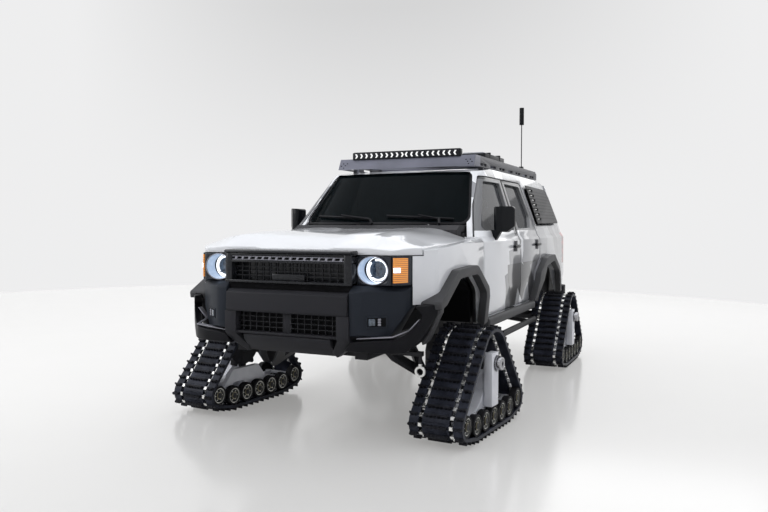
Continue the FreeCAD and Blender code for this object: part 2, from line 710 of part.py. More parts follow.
node("arch_flares", group("ArchFlares", both("FrontFlares", moulding("FrontFlare", front_flare_edge)),
                          both("RearFlares", moulding("RearFlare", rear_flare_edge))))
front_liner_edge = [(-2060, 900), (-1790, 1075, 120), (-1400, 1080, 150), (-1180, 945, 100), (-1165, 700),
                    (-1185, 700), (-1200, 935, 100), (-1410, 1060, 150), (-1780, 1055, 120), (-2050, 880)]
front_wall_edge = [(-2045, 882), (-1780, 1060, 120), (-1410, 1065, 150), (-1198, 938, 100), (-1183, 705),
                   (-1990, 705)]
front_liner = fuse("FrontLiner", through("FrontLinerBand", front_liner_edge, 560, 850),
                   through("FrontLinerWall", front_wall_edge, 560, 575))
node("arch_liners", group("ArchLiners", both("FrontLiners", front_liner), both("RearLiners", rear_liner)))
cladding_bar = box("CladdingBar", (880, -1068, c.sill_z), (972, 450, 720))
node("side_cladding", both("SideCladding", cut("Cladding", cladding_bar, outer)))
step = fuse("SideStep", rod("StepTube", (945, -1000, 540), (945, 500, 540), 26),
            *[extrude(f"StepBracket{i}", "XZ", [(505, 615), (505, 580), (945, 522), (945, 556)], y, y + 40)
              for i, y in enumerate((-720, 280))])
node("side_steps", both("SideSteps", step))

# ---------------------------------------------------------------- mirrors, rack, antenna

mirror_head = common("MirrorHead",
                     extrude("MirrorHeadFront", "XZ", [(905, 1392, 20), (1000, 1378, 20), (1052, 1430, 20),
                                                       (1050, 1589, 25), (905, 1583, 20)], -790, -610),
                     extrude("MirrorHeadPlan", "XY", [(905, -781, 30), (972, -765, 40), (1052, -660, 20),
                                                      (1052, -622), (905, -640)], 1300, 1700))
mirror_foot = extrude("MirrorFoot", "XZ", [(860, 1345), (905, 1290), (965, 1392), (860, 1400)], -745, -690)
mirror_left = cut("MirrorLeft", fuse("MirrorForm", mirror_head, mirror_foot), outer)
node("mirror_left", mirror_left)
node("mirror_right", mirror("MirrorRight", mirror_left))

slot_loops = [[(-300 + i * 300, 1957), (-120 + i * 300, 1957), (-120 + i * 300, 1979), (-300 + i * 300, 1979)]
              for i in range(7)]
rack_side = extrude("RackSide", "YZ", [[(-470, 1945), (1819, 1945), (1819, 2010), (1760, 2036), (-420, 2040)]]
                    + slot_loops, 626, 650)
rack_bars = [box(f"RackBar{i}", (-626, -330 + i * 230, 1985), (626, -290 + i * 230, 2005)) for i in range(10)]
fairing = extrude("RackFairing", "YZ", [(-486, 1942), (-466, 1942), (-416, 2040), (-436, 2040)], -650, 650)
rack_feet = [box(f"RackFoot{i}", (600, -200 + i * 600, 1925), (640, -160 + i * 600, 1990)) for i in range(4)]
rack_feet += [mirror(f"RackFootRight{i}", foot) for i, foot in enumerate(rack_feet)]
rack = cut("RoofRack", fuse("RackForm", rack_side, mirror("RackSideRight", rack_side), fairing, *rack_bars,
                            *rack_feet), outer)
node("roof_rack", rack)
light_case = extrude("LightBarCase", "YZ", [(-452, 2046), (-400, 2046), (-398, 2094), (-446, 2096)],
                     -520, 520)
light_feet = [box(f"LightBarFoot{i}", (x, -440, 2030), (x + 40, -410, 2050))
              for i, x in enumerate((-480, 440))]
node("light_bar", cut("LightBar", fuse("LightBarForm", light_case, *light_feet), rack))
node("antenna", cut("Antenna", fuse("AntennaForm", rod("Whip", (619, 1257, 2010), (619, 1257, 2680), 5),
                                    rod("WhipTop", (619, 1257, 2500), (619, 1257, 2680), 24),
                                    box("AntennaFoot", (600, 1230, 2000), (638, 1284, 2060))), rack))
panel_edge = [(818, 1452, 20), (2120, 1462, 30), (2010, 1760, 60), (1900, 1838, 60), (800, 1838, 20)]
panel_feet = [through(f"PanelFoot{i}", [(y, z), (y + 30, z), (y + 30, z + 24), (y, z + 24)])
              for i, (y, z) in enumerate(((828, 1462), (1990, 1470), (815, 1808), (1860, 1806)))]
window_panel = fuse("WindowPanel", common("PanelSheet", rear_side_zone("PanelZone", -30, -22),
                                          through("PanelEdge", panel_edge)),
                    common("PanelFeet", rear_side_zone("PanelFootZone", -24, 0),
                           fuse("PanelFootBars", *panel_feet)))
node("window_panels", both("WindowPanels", window_panel))

# ---------------------------------------------------------------- inside


def seat(name, front_y, left_x, right_x):
    """A seat on its plinth: one side profile carried across its width."""
    def at(y, z, *corner):
        return (front_y + y, z, *corner)
    return extrude(name, "YZ", [at(90, 750), at(70, 850), at(0, 860, 20), at(0, 950, 50), at(420, 930, 40),
                                at(530, 1490, 40), at(610, 1490, 40), at(520, 860, 60), at(470, 750)],
                   left_x, right_x)


node("seats", group("Seats", seat("DriverSeat", -520, 120, 640), seat("FrontSeat", -520, -640, -120),
                    seat("RearBench", 380, -640, 640)))
wheel_at = (380, -575, 1205)
node("dashboard", fuse("Dashboard",
                       extrude("DashTop", "YZ", [(-1035, 1150), (-760, 1130), (-700, 1200, 40), (-740, 1370, 60),
                                                 (-1035, 1375)], -740, 740),
                       extrude("Column", "YZ", [(-760, 1280), (-760, 1230), (-560, 1185), (-550, 1225)], 355, 405),
                       cut("SteeringWheel", rod("WheelDisc", wheel_at, (380, -557, 1201), 185),
                           rod("WheelInside", (380, -580, 1206), (380, -550, 1199.5), 158)),
                       extrude("WheelSpoke", "YZ", [(-575, 1225), (-575, 1190), (-558, 1186), (-558, 1221)],
                               215, 545)))

# ---------------------------------------------------------------- chassis

rail = extrude("Rail", "YZ", [(-2250, c.rail_low_z), (2300, c.rail_low_z), (2300, c.rail_low_z + 100),
                              (1900, c.rail_low_z + c.rail_height), (-1900, c.rail_low_z + c.rail_height),
                              (-2250, c.rail_low_z + 100)],
               c.rail_x - c.rail_width / 2, c.rail_x + c.rail_width / 2)
members = [box(f"CrossMember{i}", (-c.rail_x, y - 40, c.rail_low_z + 20), (c.rail_x, y + 40, 655))
           for i, y in enumerate([-2210, -1300, -500, 300, 1000, 1600, 2200])]
body_mounts = [box(f"BodyMount{i}", (c.rail_x - 30, y - 30, c.rail_low_z + c.rail_height),
                   (c.rail_x + 30, y + 30, c.floor_z))
               for i, y in enumerate((-950, -250, 450, 1250, 1850))]
rail_left = fuse("RailLeft", rail, *body_mounts)
node("chassis_frame", fuse("ChassisFrame", rail_left, mirror("RailRight", rail_left), *members))
node("engine_block", extrude("EngineBlock", "XZ", [(-180, 720), (180, 720), (300, 860), (300, 1110, 40),
                                                   (-300, 1110, 40), (-300, 860)], -2000, -1350))

node("rear_axle", fuse("RearAxle",
                       rod("AxleTube", (-880, rear_axle_y, c.hub_z), (880, rear_axle_y, c.hub_z), 45),
                       rod("DiffHousing", (-120, rear_axle_y, c.hub_z), (120, rear_axle_y, c.hub_z), 125)))
arm_plan = [(425, c.front_axle_y - 230), (470, c.front_axle_y - 230), (650, c.front_axle_y - 40),
            (650, c.front_axle_y + 40), (470, c.front_axle_y + 230), (425, c.front_axle_y + 230),
            (425, c.front_axle_y + 170), (560, c.front_axle_y), (425, c.front_axle_y - 170)]
node("suspension_arms", both("SuspensionArms",
                             common("LowerArm", extrude("LowerArmPlan", "XY", arm_plan, 300, 600),
                                    extrude("LowerArmSide", "XZ", [(425, 560), (650, 350), (650, 315), (425, 520)],
                                            c.front_axle_y - 300, c.front_axle_y + 300))))

tow_ring = cut("TowRing", rod("TowRingDisc", (833, -2160, 495), (833, -2140, 495), 36),
               rod("TowRingHole", (833, -2170, 495), (833, -2130, 495), 22))
node("tow_eye", fuse("TowEye", box("TowStem", (823, -2158, 525), (843, -2142, 600)), tow_ring,
                     box("TowBeam", (505, -2170, 595), (850, -2130, 625))))

# ---------------------------------------------------------------- track units


def hull_path(circles, extra):
    """The closed belt line round a list of (y, z, radius) circles, as edges, at an extra distance."""
    edges = []
    count = len(circles)
    points = []
    for i in range(count):
        y0, z0, r0 = circles[i]
        y1, z1, r1 = circles[(i + 1) % count]
        r0, r1 = r0 + extra, r1 + extra
        length = math.hypot(y1 - y0, z1 - z0)
        heading = math.atan2(z1 - z0, y1 - y0)
        lean = math.asin((r0 - r1) / length)
        normal = heading - math.pi / 2 + lean
        points.append((Vector(0, y0 + r0 * math.cos(normal), z0 + r0 * math.sin(normal)),
                       Vector(0, y1 + r1 * math.cos(normal), z1 + r1 * math.sin(normal)), normal))
    for i in range(count):
        start, end, normal = points[i]
        after = points[(i + 1) % count]
        edges.append(Part.makeLine(start, end))
        y1, z1, r1 = circles[(i + 1) % count]
        turn = (after[2] - normal) % (2 * math.pi)
        middle = normal + turn / 2
        reach = r1 + extra
        edges.append(Part.Arc(end, Vector(0, y1 + reach * math.cos(middle), z1 + reach * math.sin(middle)),
                              after[0]).toShape())
    return edges


def belt_circles():
    """The wheels that the belt runs round: idler, first and last roller, idler, sprocket."""
    last = 2 * c.roller_pitch.value
    return [
        (-c.idler_y.value, c.idler_z.value, c.idler_radius.value),
        (-last, c.roller_z.value, c.roller_radius.value),
        (last, c.roller_z.value, c.roller_radius.value),
        (c.idler_y.value, c.idler_z.value, c.idler_radius.value),
        (0.0, c.hub_z.value, c.sprocket_radius.value),
    ]


def belt_shape():
    """One rubber belt: a band round the wheels with a lug across it at every shoe."""
    wall, lug, width = c.belt_wall.value, c.lug_height.value, c.belt_width.value
    circles = belt_circles()
    outside = Part.Wire(hull_path(circles, wall))
    inside = Part.Wire(hull_path(circles, 0))
    band = Part.Face([outside, inside]).extrude(Vector(width, 0, 0))
    lugs = []
    count = int(c.lug_count.value)
    sunk, foot, tip = 6, 15, 8
    stations = Part.Wire(hull_path(circles, wall - sunk)).discretize(count + 1)
    centre = Vector(0, 0, c.hub_z.value / 2)
    for i in range(count):
        tangent = unit(stations[i - 1] if i else stations[-2], stations[i + 1])
        out = Vector(0, tangent.z, -tangent.y)
        if out.dot(stations[i] - centre) < 0:
            out = out * -1
        crest = stations[i] + out * (lug + sunk)
        corners = [stations[i] - tangent * foot, stations[i] + tangent * foot, crest + tangent * tip,
                   crest - tangent * tip]
        lugs.append(Part.Face(Part.makePolygon(corners + [corners[0]])).extrude(Vector(width, 0, 0)))
    return band.multiFuse(lugs).removeSplitter()


belt_form = belt_shape()


def belt(name, axle_y, side):
    solid = doc.addObject("Part::Feature", name)
    solid.Shape = belt_form
    x = (c.track_x.value if side > 0 else -c.track_x.value) - c.belt_width.value / 2
    solid.Placement = FreeCAD.Placement(Vector(x, axle_y.value, 0), Rotation())
    return solid


def sprocket_body(tag, axle_y):
    """The drive sprocket: a dished disc with a hub, and one tooth repeated round it."""
    body = doc.addObject("PartDesign::Body", tag + "SprocketBody")
    doc.recompute()
    disc_width, hub_width = 56, 100
    for name, radius, length in (("Disc", c.sprocket_radius - 30, disc_width), ("Hub", size(78), hub_width)):
        pad = body.newObject("PartDesign::Pad", tag + name)
        pad.Profile = draw(tag + name + "Profile", "YZ", [circle(0, 0, radius)], 0, body)
        pad.Midplane = True
        pad.Length = length
    root, tip = c.sprocket_radius - 40, c.sprocket_radius - 3
    tooth = body.newObject("PartDesign::Pad", tag + "Tooth")
    tooth_edge = [(-22, root), (22, root), (12, tip), (-12, tip)]
    tooth.Profile = draw(tag + "ToothProfile", "YZ", [tooth_edge], 0, body)
    tooth.Midplane = True
    tooth.Length = disc_width
    ring = body.newObject("PartDesign::PolarPattern", tag + "Teeth")
    ring.Originals = [tooth]
    ring.Axis = ([f for f in body.Origin.OriginFeatures if f.Role == "X_Axis"][0], [""])
    ring.Angle = 360
    ring.Occurrences = 12
    body.Tip = ring
    place(body, c.track_x, axle_y, c.hub_z)
    return body


def unit_parts(tag, axle_y):
    """The left-hand track unit's frame, sprocket and wheels at an axle."""
    low = c.roller_z - 12

    def at(y, z, *corner):
        return (axle_y + y, z, *corner)

    leg = extrude(tag + "Leg", "YZ",
                  [at(-38, 548), at(38, 548), at(38, 262), at(110, 196), at(330, 150), at(330, low),
                   at(-350, low), at(-350, 140), at(-190, 190), at(-46, 300)], c.track_x + 50, c.track_x + 126)
    inner = extrude(tag + "InnerPlate", "YZ",
                    [at(-392, low), at(-392, 148), at(-262, 306), at(40, 306), at(130, 204), at(372, 150),
                     at(372, low), at(-90, low), at(-126, 206, 30), at(-262, 206, 30), at(-330, 130),
                     at(-330, low)], c.track_x - 132, c.track_x - 96)
    bridge = extrude(tag + "Bridge", "YZ",
                     [at(-300, 196), at(-225, 196), at(-225, 240), at(-262, 248), at(-300, 236)],
                     c.track_x - 110, c.track_x + 60)
    spine = extrude(tag + "Spine", "YZ", [at(-60, low), at(60, low), at(60, 190), at(-60, 190)],
                    c.track_x - 110, c.track_x + 60)
    hub = rod(tag + "HubBoss", (c.track_x + 86, axle_y, c.hub_z), (c.track_x + 196, axle_y, c.hub_z), 46)
    pins = [box(f"{tag}Pin{i}", (c.track_x - 184, axle_y + y - 11, z - 11),
                (c.track_x + 184, axle_y + y + 11, z + 11))
            for i, (y, z) in enumerate(wheel_places())]
    ends = [extrude(f"{tag}End{i}", "YZ",
                    [at(side * 330, low), at(side * 330, 148), at(side * 478, c.idler_z + 14),
                     at(side * 478, c.idler_z - 14)][::side],
                    c.track_x + 70, c.track_x + 100) for i, side in enumerate((-1, 1))]
    wheels = []
    for i, (y, z) in enumerate(wheel_places()):
        radius = c.roller_radius if abs(y.value) < 400 else c.idler_radius
        for j, (start, end) in enumerate(((-185, -137), (131, 187))):
            wheels.append(rod(f"{tag}Wheel{i}{j}", (c.track_x + start, axle_y + y, z),
                              (c.track_x + end, axle_y + y, z), radius - 1))
    frame = cut(tag + "Frame", fuse(tag + "FrameForm", leg, inner, bridge, spine, hub, *ends, *pins), *wheels)
    return frame, sprocket_body(tag, axle_y), group(tag + "Rollers", *wheels)


def wheel_places():
    """The centres of a unit's seven axles, measured from the hub's place on the ground."""
    rollers = [(c.roller_pitch * i, c.roller_z) for i in (-2, -1, 0, 1, 2)]
    return [(-c.idler_y, c.idler_z)] + rollers + [(c.idler_y, c.idler_z)]


def steered(name, source, sign):
    """Turns a front piece about its kingpin to the angle at which the car stands."""
    turned = doc.addObject("Part::Compound", name)
    turned.Links = [source]
    kingpin = Vector(c.kingpin_x.value * sign, c.front_axle_y.value, 0)
    turned.Placement = FreeCAD.Placement(Vector(), Rotation(Vector(0, 0, 1), c.steer_angle.value), kingpin)
    return turned


front_frame, front_sprocket, front_rollers = unit_parts("Front", c.front_axle_y)
rear_frame, rear_sprocket, rear_rollers = unit_parts("Rear", rear_axle_y)
knuckle = fuse("KnuckleLeft",
               extrude("Upright", "YZ", [(c.front_axle_y - 35, 650), (c.front_axle_y + 35, 650),
                                         (c.front_axle_y + 75, 540), (c.front_axle_y + 75, 430),
                                         (c.front_axle_y + 35, 350), (c.front_axle_y - 35, 350),
                                         (c.front_axle_y - 75, 430), (c.front_axle_y - 75, 540)],
                       c.kingpin_x - 30, c.kingpin_x + 40),
               rod("Spindle", (c.kingpin_x, c.front_axle_y, c.hub_z),
                   (c.track_x - 86, c.front_axle_y, c.hub_z), 55))
for side, sign in (("left", 1), ("right", -1)):
    pieces = {"front_track": belt(f"FrontTrack{side}", c.front_axle_y, sign)}
    for label, left in (("track_frame", front_frame), ("sprocket", front_sprocket), ("rollers", front_rollers),
                        ("knuckle", knuckle)):
        pieces[label] = left if sign > 0 else mirror(f"{left.Name}Right", left)
    for label, piece in pieces.items():
        node(f"{label}_{side}", steered(f"{piece.Name}Steered", piece, sign))
node("rear_tracks", group("RearTracks", belt("RearTrackLeft", rear_axle_y, 1),
                          belt("RearTrackRight", rear_axle_y, -1)))
node("rear_track_frames", both("RearTrackFrames", rear_frame))
node("rear_sprockets", both("RearSprockets", rear_sprocket))
node("rear_rollers", both("RearRollersBoth", rear_rollers))

# ---------------------------------------------------------------- checks and files

doc.recompute()
os.makedirs("parts", exist_ok=True)
problems = [f"{obj.Name}: {obj.State}" for obj in doc.Objects if {"Invalid", "Error"} & set(obj.State)]
for label, shape in nodes.items():
    if shape.Shape.isNull() or not shape.Shape.isValid():
        problems.append(f"{label}: shape is null or not valid")
if problems:
    raise RuntimeError("; ".join(problems))
for label, shape in nodes.items():
    shape.Shape.exportStep(f"parts/{label}.step")
    print(label, len(shape.Shape.Solids), round(shape.Shape.Volume / 1e6, 1))
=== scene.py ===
import json
import math

import bpy
from mathutils import Matrix, Vector
from mathutils.bvhtree import BVHTree

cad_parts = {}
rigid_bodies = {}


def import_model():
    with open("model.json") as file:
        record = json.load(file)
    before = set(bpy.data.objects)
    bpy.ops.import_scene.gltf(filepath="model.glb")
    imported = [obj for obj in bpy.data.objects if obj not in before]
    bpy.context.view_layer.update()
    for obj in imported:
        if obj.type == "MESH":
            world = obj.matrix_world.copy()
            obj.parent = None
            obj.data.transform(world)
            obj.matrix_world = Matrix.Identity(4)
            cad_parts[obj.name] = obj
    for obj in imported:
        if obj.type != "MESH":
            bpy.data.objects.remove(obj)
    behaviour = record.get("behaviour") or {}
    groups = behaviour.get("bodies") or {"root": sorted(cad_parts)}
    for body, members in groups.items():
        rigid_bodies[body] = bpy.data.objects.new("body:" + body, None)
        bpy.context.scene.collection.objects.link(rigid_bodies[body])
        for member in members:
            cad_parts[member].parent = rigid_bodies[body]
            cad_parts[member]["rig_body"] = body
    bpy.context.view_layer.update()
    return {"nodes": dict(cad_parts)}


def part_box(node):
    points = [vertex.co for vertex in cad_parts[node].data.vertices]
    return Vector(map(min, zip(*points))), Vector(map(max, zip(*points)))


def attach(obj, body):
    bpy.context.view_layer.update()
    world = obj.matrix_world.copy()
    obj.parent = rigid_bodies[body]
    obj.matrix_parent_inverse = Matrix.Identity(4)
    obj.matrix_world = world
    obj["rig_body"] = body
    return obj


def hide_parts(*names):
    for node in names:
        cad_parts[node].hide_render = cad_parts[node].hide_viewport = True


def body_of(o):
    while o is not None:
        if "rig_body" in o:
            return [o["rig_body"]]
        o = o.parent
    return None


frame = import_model()

# ------------------------------------------------------------------ studio
# A pale glossy floor inside a near-white round wall, lit by large soft panels above, in front, on both
# sides and behind. Metres, in the car's own frame: the front faces -Y, the left side +X.

scene = bpy.context.scene
scene.view_settings.view_transform = "Standard"
scene.render.film_transparent = False


class Sock:
    """A shader socket that takes Python arithmetic: each operation adds a Math node."""

    def __init__(self, tree, socket):
        self.tree = tree
        self.socket = socket

    def math(self, operation, *others, clamp=False):
        made = self.tree.nodes.new("ShaderNodeMath")
        made.operation = operation
        made.use_clamp = clamp
        for slot, value in enumerate((self,) + others):
            if isinstance(value, Sock):
                self.tree.links.new(value.socket, made.inputs[slot])
            else:
                made.inputs[slot].default_value = value
        return Sock(self.tree, made.outputs[0])

    def __add__(self, other):
        return self.math("ADD", other)

    __radd__ = __add__

    def __sub__(self, other):
        return self.math("SUBTRACT", other)

    def __rsub__(self, other):
        return (self * -1.0) + other

    def __mul__(self, other):
        return self.math("MULTIPLY", other)

    __rmul__ = __mul__

    def __gt__(self, other):
        return self.math("GREATER_THAN", other)

    def __lt__(self, other):
        return self.math("LESS_THAN", other)


class Finish:
    """A material under construction: one Principled shader and the nodes that feed it.

    Roughness is a number, or a noise's scale, its span and the least value."""

    def __init__(self, name, color, roughness, metallic=0.0, coat=0.0):
        self.made = bpy.data.materials.new(name)
        self.made.use_nodes = True
        self.tree = self.made.node_tree
        self.shader = self.tree.nodes["Principled BSDF"]
        self.set("Base Color", (*color, 1.0))
        if isinstance(roughness, tuple):
            scale, span, least = roughness
            roughness = self.noise(scale) * span + least
        self.set("Roughness", roughness)
        self.set("Metallic", metallic)
        self.set("Coat Weight", coat)
        if max(color) < 0.1:  # dark plastics and rubbers shine less
            self.set("Specular IOR Level", 0.16)
            self.set("IOR", 1.38)

    def set(self, name, value):
        socket = self.shader.inputs[name]
        if isinstance(value, Sock):
            self.tree.links.new(value.socket, socket)
        else:
            socket.default_value = value

    def node(self, kind, settings=None, inputs=None, output=0):
        made = self.tree.nodes.new(kind)
        for key, value in (settings or {}).items():
            setattr(made, key, value)
        for key, value in (inputs or {}).items():
            if isinstance(value, Sock):
                self.tree.links.new(value.socket, made.inputs[key])
            else:
                made.inputs[key].default_value = value
        return Sock(self.tree, made.outputs[output])

    def place(self):
        return self.node("ShaderNodeTexCoord", output="Object")

    def axes(self):
        """The Object coordinate's three numbers."""
        split = self.node("ShaderNodeSeparateXYZ", {}, {0: self.place()})
        return [Sock(self.tree, split.socket.node.outputs[i]) for i in range(3)]

    def noise(self, scale, detail=3.0):
        return self.node(
            "ShaderNodeTexNoise", {}, {"Vector": self.place(), "Scale": scale, "Detail": detail}, "Fac"
        )

    def ramp(self, value, start, dark, end, pale):
        """A colour that runs from dark to pale as the value goes from start to end."""
        made = self.tree.nodes.new("ShaderNodeValToRGB")
        for element, spot, color in zip(made.color_ramp.elements, (start, end), (dark, pale)):
            element.position = spot
            element.color = (*color, 1.0)
        self.tree.links.new(value.socket, made.inputs["Fac"])
        return Sock(self.tree, made.outputs["Color"])

    def mottled(self, scale, dark, pale, start=0.3, end=0.7, detail=3.0, socket="Base Color"):
        """Two shades of a colour in soft clouds."""
        self.set(socket, self.ramp(self.noise(scale, detail), start, dark, end, pale))

    def grained(self, scale, detail, span, least, strength, depth):
        """One fine noise for both the roughness and the bump."""
        grain = self.noise(scale, detail)
        self.set("Roughness", grain * span + least)
        self.bump(grain, strength, depth)

    def mix(self, mask, first, second):
        made = self.tree.nodes.new("ShaderNodeMix")
        made.data_type = "RGBA"
        for socket, value in ((made.inputs[0], mask), (made.inputs[6], first), (made.inputs[7], second)):
            if isinstance(value, Sock):
                self.tree.links.new(value.socket, socket)
            elif isinstance(value, tuple):
                socket.default_value = (*value, 1.0)
            else:
                socket.default_value = value
        return Sock(self.tree, made.outputs[2])

    def bump(self, height, strength, distance):
        self.set(
            "Normal",
            self.node("ShaderNodeBump", {}, {"Height": height, "Strength": strength, "Distance": distance})
        )

    def seen_as(self, color):
        """What the camera, mirrors and glass see in place of the lit surface."""
        path = self.tree.nodes.new("ShaderNodeLightPath")
        looks = [
            Sock(self.tree, path.outputs[name])
            for name in ("Is Camera Ray", "Is Glossy Ray", "Is Transmission Ray")
        ]
        glow = self.tree.nodes.new("ShaderNodeEmission")
        self.tree.links.new(color.socket, glow.inputs["Color"])
        blend = self.tree.nodes.new("ShaderNodeMixShader")
        self.tree.links.new((looks[0] + looks[1]).math("ADD", looks[2], clamp=True).socket, blend.inputs[0])
        self.tree.links.new(self.shader.outputs[0], blend.inputs[1])
        self.tree.links.new(glow.outputs[0], blend.inputs[2])
        self.tree.links.new(blend.outputs[0], self.tree.nodes["Material Output"].inputs["Surface"])


def nothing_selected():
    if bpy.context.object and bpy.context.object.mode == "EDIT":
        bpy.ops.object.mode_set(mode="OBJECT")
    bpy.ops.object.select_all(action="DESELECT")


def only(piece):
    """Selects one piece and makes it the active one."""
    nothing_selected()
    piece.select_set(True)
    bpy.context.view_layer.objects.active = piece


def settle(piece):
    """Puts a piece's place, turn and scale into its mesh."""
    only(piece)
    bpy.ops.object.transform_apply(location=True, rotation=True, scale=True)


# The floor's glow shows to the camera and in reflections only, so it adds no light to the car.
floor_paint = Finish("studio_floor", (0.46, 0.455, 0.445), (3.0, 0.03, 0.145))
floor_path = floor_paint.tree.nodes.new("ShaderNodeLightPath")
floor_seen = Sock(floor_paint.tree, floor_path.outputs["Is Camera Ray"]).math(
    "ADD", Sock(floor_paint.tree, floor_path.outputs["Is Glossy Ray"]), clamp=True
)
floor_paint.set("Emission Color", floor_paint.mix(floor_seen, (0.0, 0.0, 0.0), (1.0, 0.99, 0.97)))
floor_paint.set("Emission Strength", 0.28)
floor_paint.set(
    "Base Color", floor_paint.mix(floor_paint.noise(1.2), (0.45, 0.445, 0.435), (0.47, 0.465, 0.455))
)
floor_paint.set("Specular IOR Level", 0.42)
wall_paint = Finish("studio_wall", (0.86, 0.86, 0.87), 0.9)
wall_x, wall_y, wall_z = wall_paint.axes()
# Painted shade: the wall is greyest high up, along the line of sight.
rise = ((wall_z - 2.2) * 0.21).math("ADD", 0.0, clamp=True)
middle = (
    1.0 - ((wall_x * 0.909 + wall_y * 0.417 + 0.38) * 0.14).math("POWER", 2.0)
).math("ADD", 0.0, clamp=True)
wall_shade_tone = 0.855 - rise * middle * 0.19
wall_paint.seen_as(wall_paint.mix(wall_shade_tone, (0.0, 0.0, 0.0), (1.0, 1.0, 1.005)))

studio_x, studio_y, studio_radius = -2.4, 1.0, 9.6
nothing_selected()
bpy.ops.mesh.primitive_circle_add(
    vertices=96, radius=studio_radius, fill_type="NGON", location=(studio_x, studio_y, 0)
)
studio_floor = bpy.context.object
studio_floor.name = "studio_floor"
studio_floor.data.materials.append(floor_paint.made)
settle(studio_floor)

nothing_selected()
bpy.ops.mesh.primitive_circle_add(
    vertices=96, radius=studio_radius - 0.02, fill_type="NOTHING", location=(studio_x, studio_y, -0.002)
)
studio_wall = bpy.context.object
studio_wall.name = "studio_wall"
bpy.ops.object.mode_set(mode="EDIT")
for reach, lift in ((1.018, 0.03), (1.022, 0.16), (1.014, 0.6), (1.006, 2.2), (1.0, 6.0)):
    bpy.ops.mesh.extrude_region_move(TRANSFORM_OT_translate={"value": (0, 0, lift)})
    bpy.ops.transform.resize(value=(reach, reach, 1))
bpy.ops.object.mode_set(mode="OBJECT")
studio_wall.data.materials.append(wall_paint.made)
settle(studio_wall)
bpy.ops.object.shade_smooth()

world = bpy.data.worlds.new("studio")
world.use_nodes = True
scene.world = world
sky = world.node_tree.nodes["Background"]
sky.inputs["Color"].default_value = (0.90, 0.92, 0.96, 1)
sky.inputs["Strength"].default_value = 1.08


def soft_panel(name, place, aim, width, height, power):
    """A large rectangular studio lamp that faces a point."""
    data = bpy.data.lights.new(name, "AREA")
    data.shape = "RECTANGLE"
    data.size = width
    data.size_y = height
    data.energy = power
    lamp = bpy.data.objects.new(name, data)
    lamp.location = place
    lamp.rotation_euler = (Vector(aim) - Vector(place)).to_track_quat("-Z", "Y").to_euler()
    scene.collection.objects.link(lamp)


soft_panel("overhead", (0, 1.0, 6.5), (0, 0, 0), 7, 9, 110)
soft_panel("front_left", (5.5, -6.5, 3.6), (0, 0, 1), 4, 3, 15)
soft_panel("front_right", (-6.0, -4.5, 3.6), (0, 0, 1), 4, 3, 110)
soft_panel("front_high", (-1.5, -9.5, 6.0), (-0.5, -2.5, 0), 8, 4, 205)
soft_panel("behind", (0, 7.5, 4.5), (0, 0, 1), 7, 3, 90)

camera_data = bpy.data.cameras.new("camera")
camera_data.lens = 34.57
camera_data.sensor_width = 36.0
camera_data.clip_end = 200
camera = bpy.data.objects.new("camera", camera_data)
camera.location = (2.576, -6.510, 1.427)
heading, pitch, roll = math.radians(24.64), math.radians(-2.32), math.radians(0.06)
camera.rotation_euler = (
    Matrix.Rotation(heading, 3, "Z") @ Matrix.Rotation(math.pi / 2 + pitch, 3, "X")
    @ Matrix.Rotation(roll, 3, "Z")
).to_euler()
scene.collection.objects.link(camera)
scene.camera = camera

# ------------------------------------------------------------------ painted panels
# Pressed steel panels in glossy white, welded into a shell or hung on it. From the front doors back a
# wrap of angular patches in three greys covers the sides. Each is its CAD form with its edges rounded.

white = (0.80, 0.81, 0.83)
grey_light, grey_mid, grey_dark = (0.36, 0.37, 0.39), (0.225, 0.23, 0.25), (0.12, 0.125, 0.14)
shard_black, inner_black = (0.02, 0.021, 0.026), (0.008, 0.008, 0.009)
frame_grey, pillar_black = (0.155, 0.157, 0.163), (0.010, 0.011, 0.013)
window_foot, window_head, pillar_y, pillar_half = 1.392, 1.826, 0.045, 0.034


def patches(finish, shift, size, lean, squash):
    """Straight-sided patches, each with its own number: the cells of a leaning, squashed pattern."""
    laid = finish.node(
        "ShaderNodeMapping", {}, {"Vector": finish.place(), "Rotation": (math.radians(lean), 0, 0)}
    )
    laid = finish.node(
        "ShaderNodeMapping", {},
        {
            "Vector": laid, "Location": (shift, shift * 0.7, shift * 1.3),
            "Scale": (0.05, 1 / size, squash / size)
        }
    )
    cells = finish.node(
        "ShaderNodeTexVoronoi", {"feature": "F1", "distance": "EUCLIDEAN"},
        {"Vector": laid, "Scale": 1.0, "Randomness": 1.0}, "Color"
    )
    return finish.node("ShaderNodeSeparateColor", {}, {0: cells})


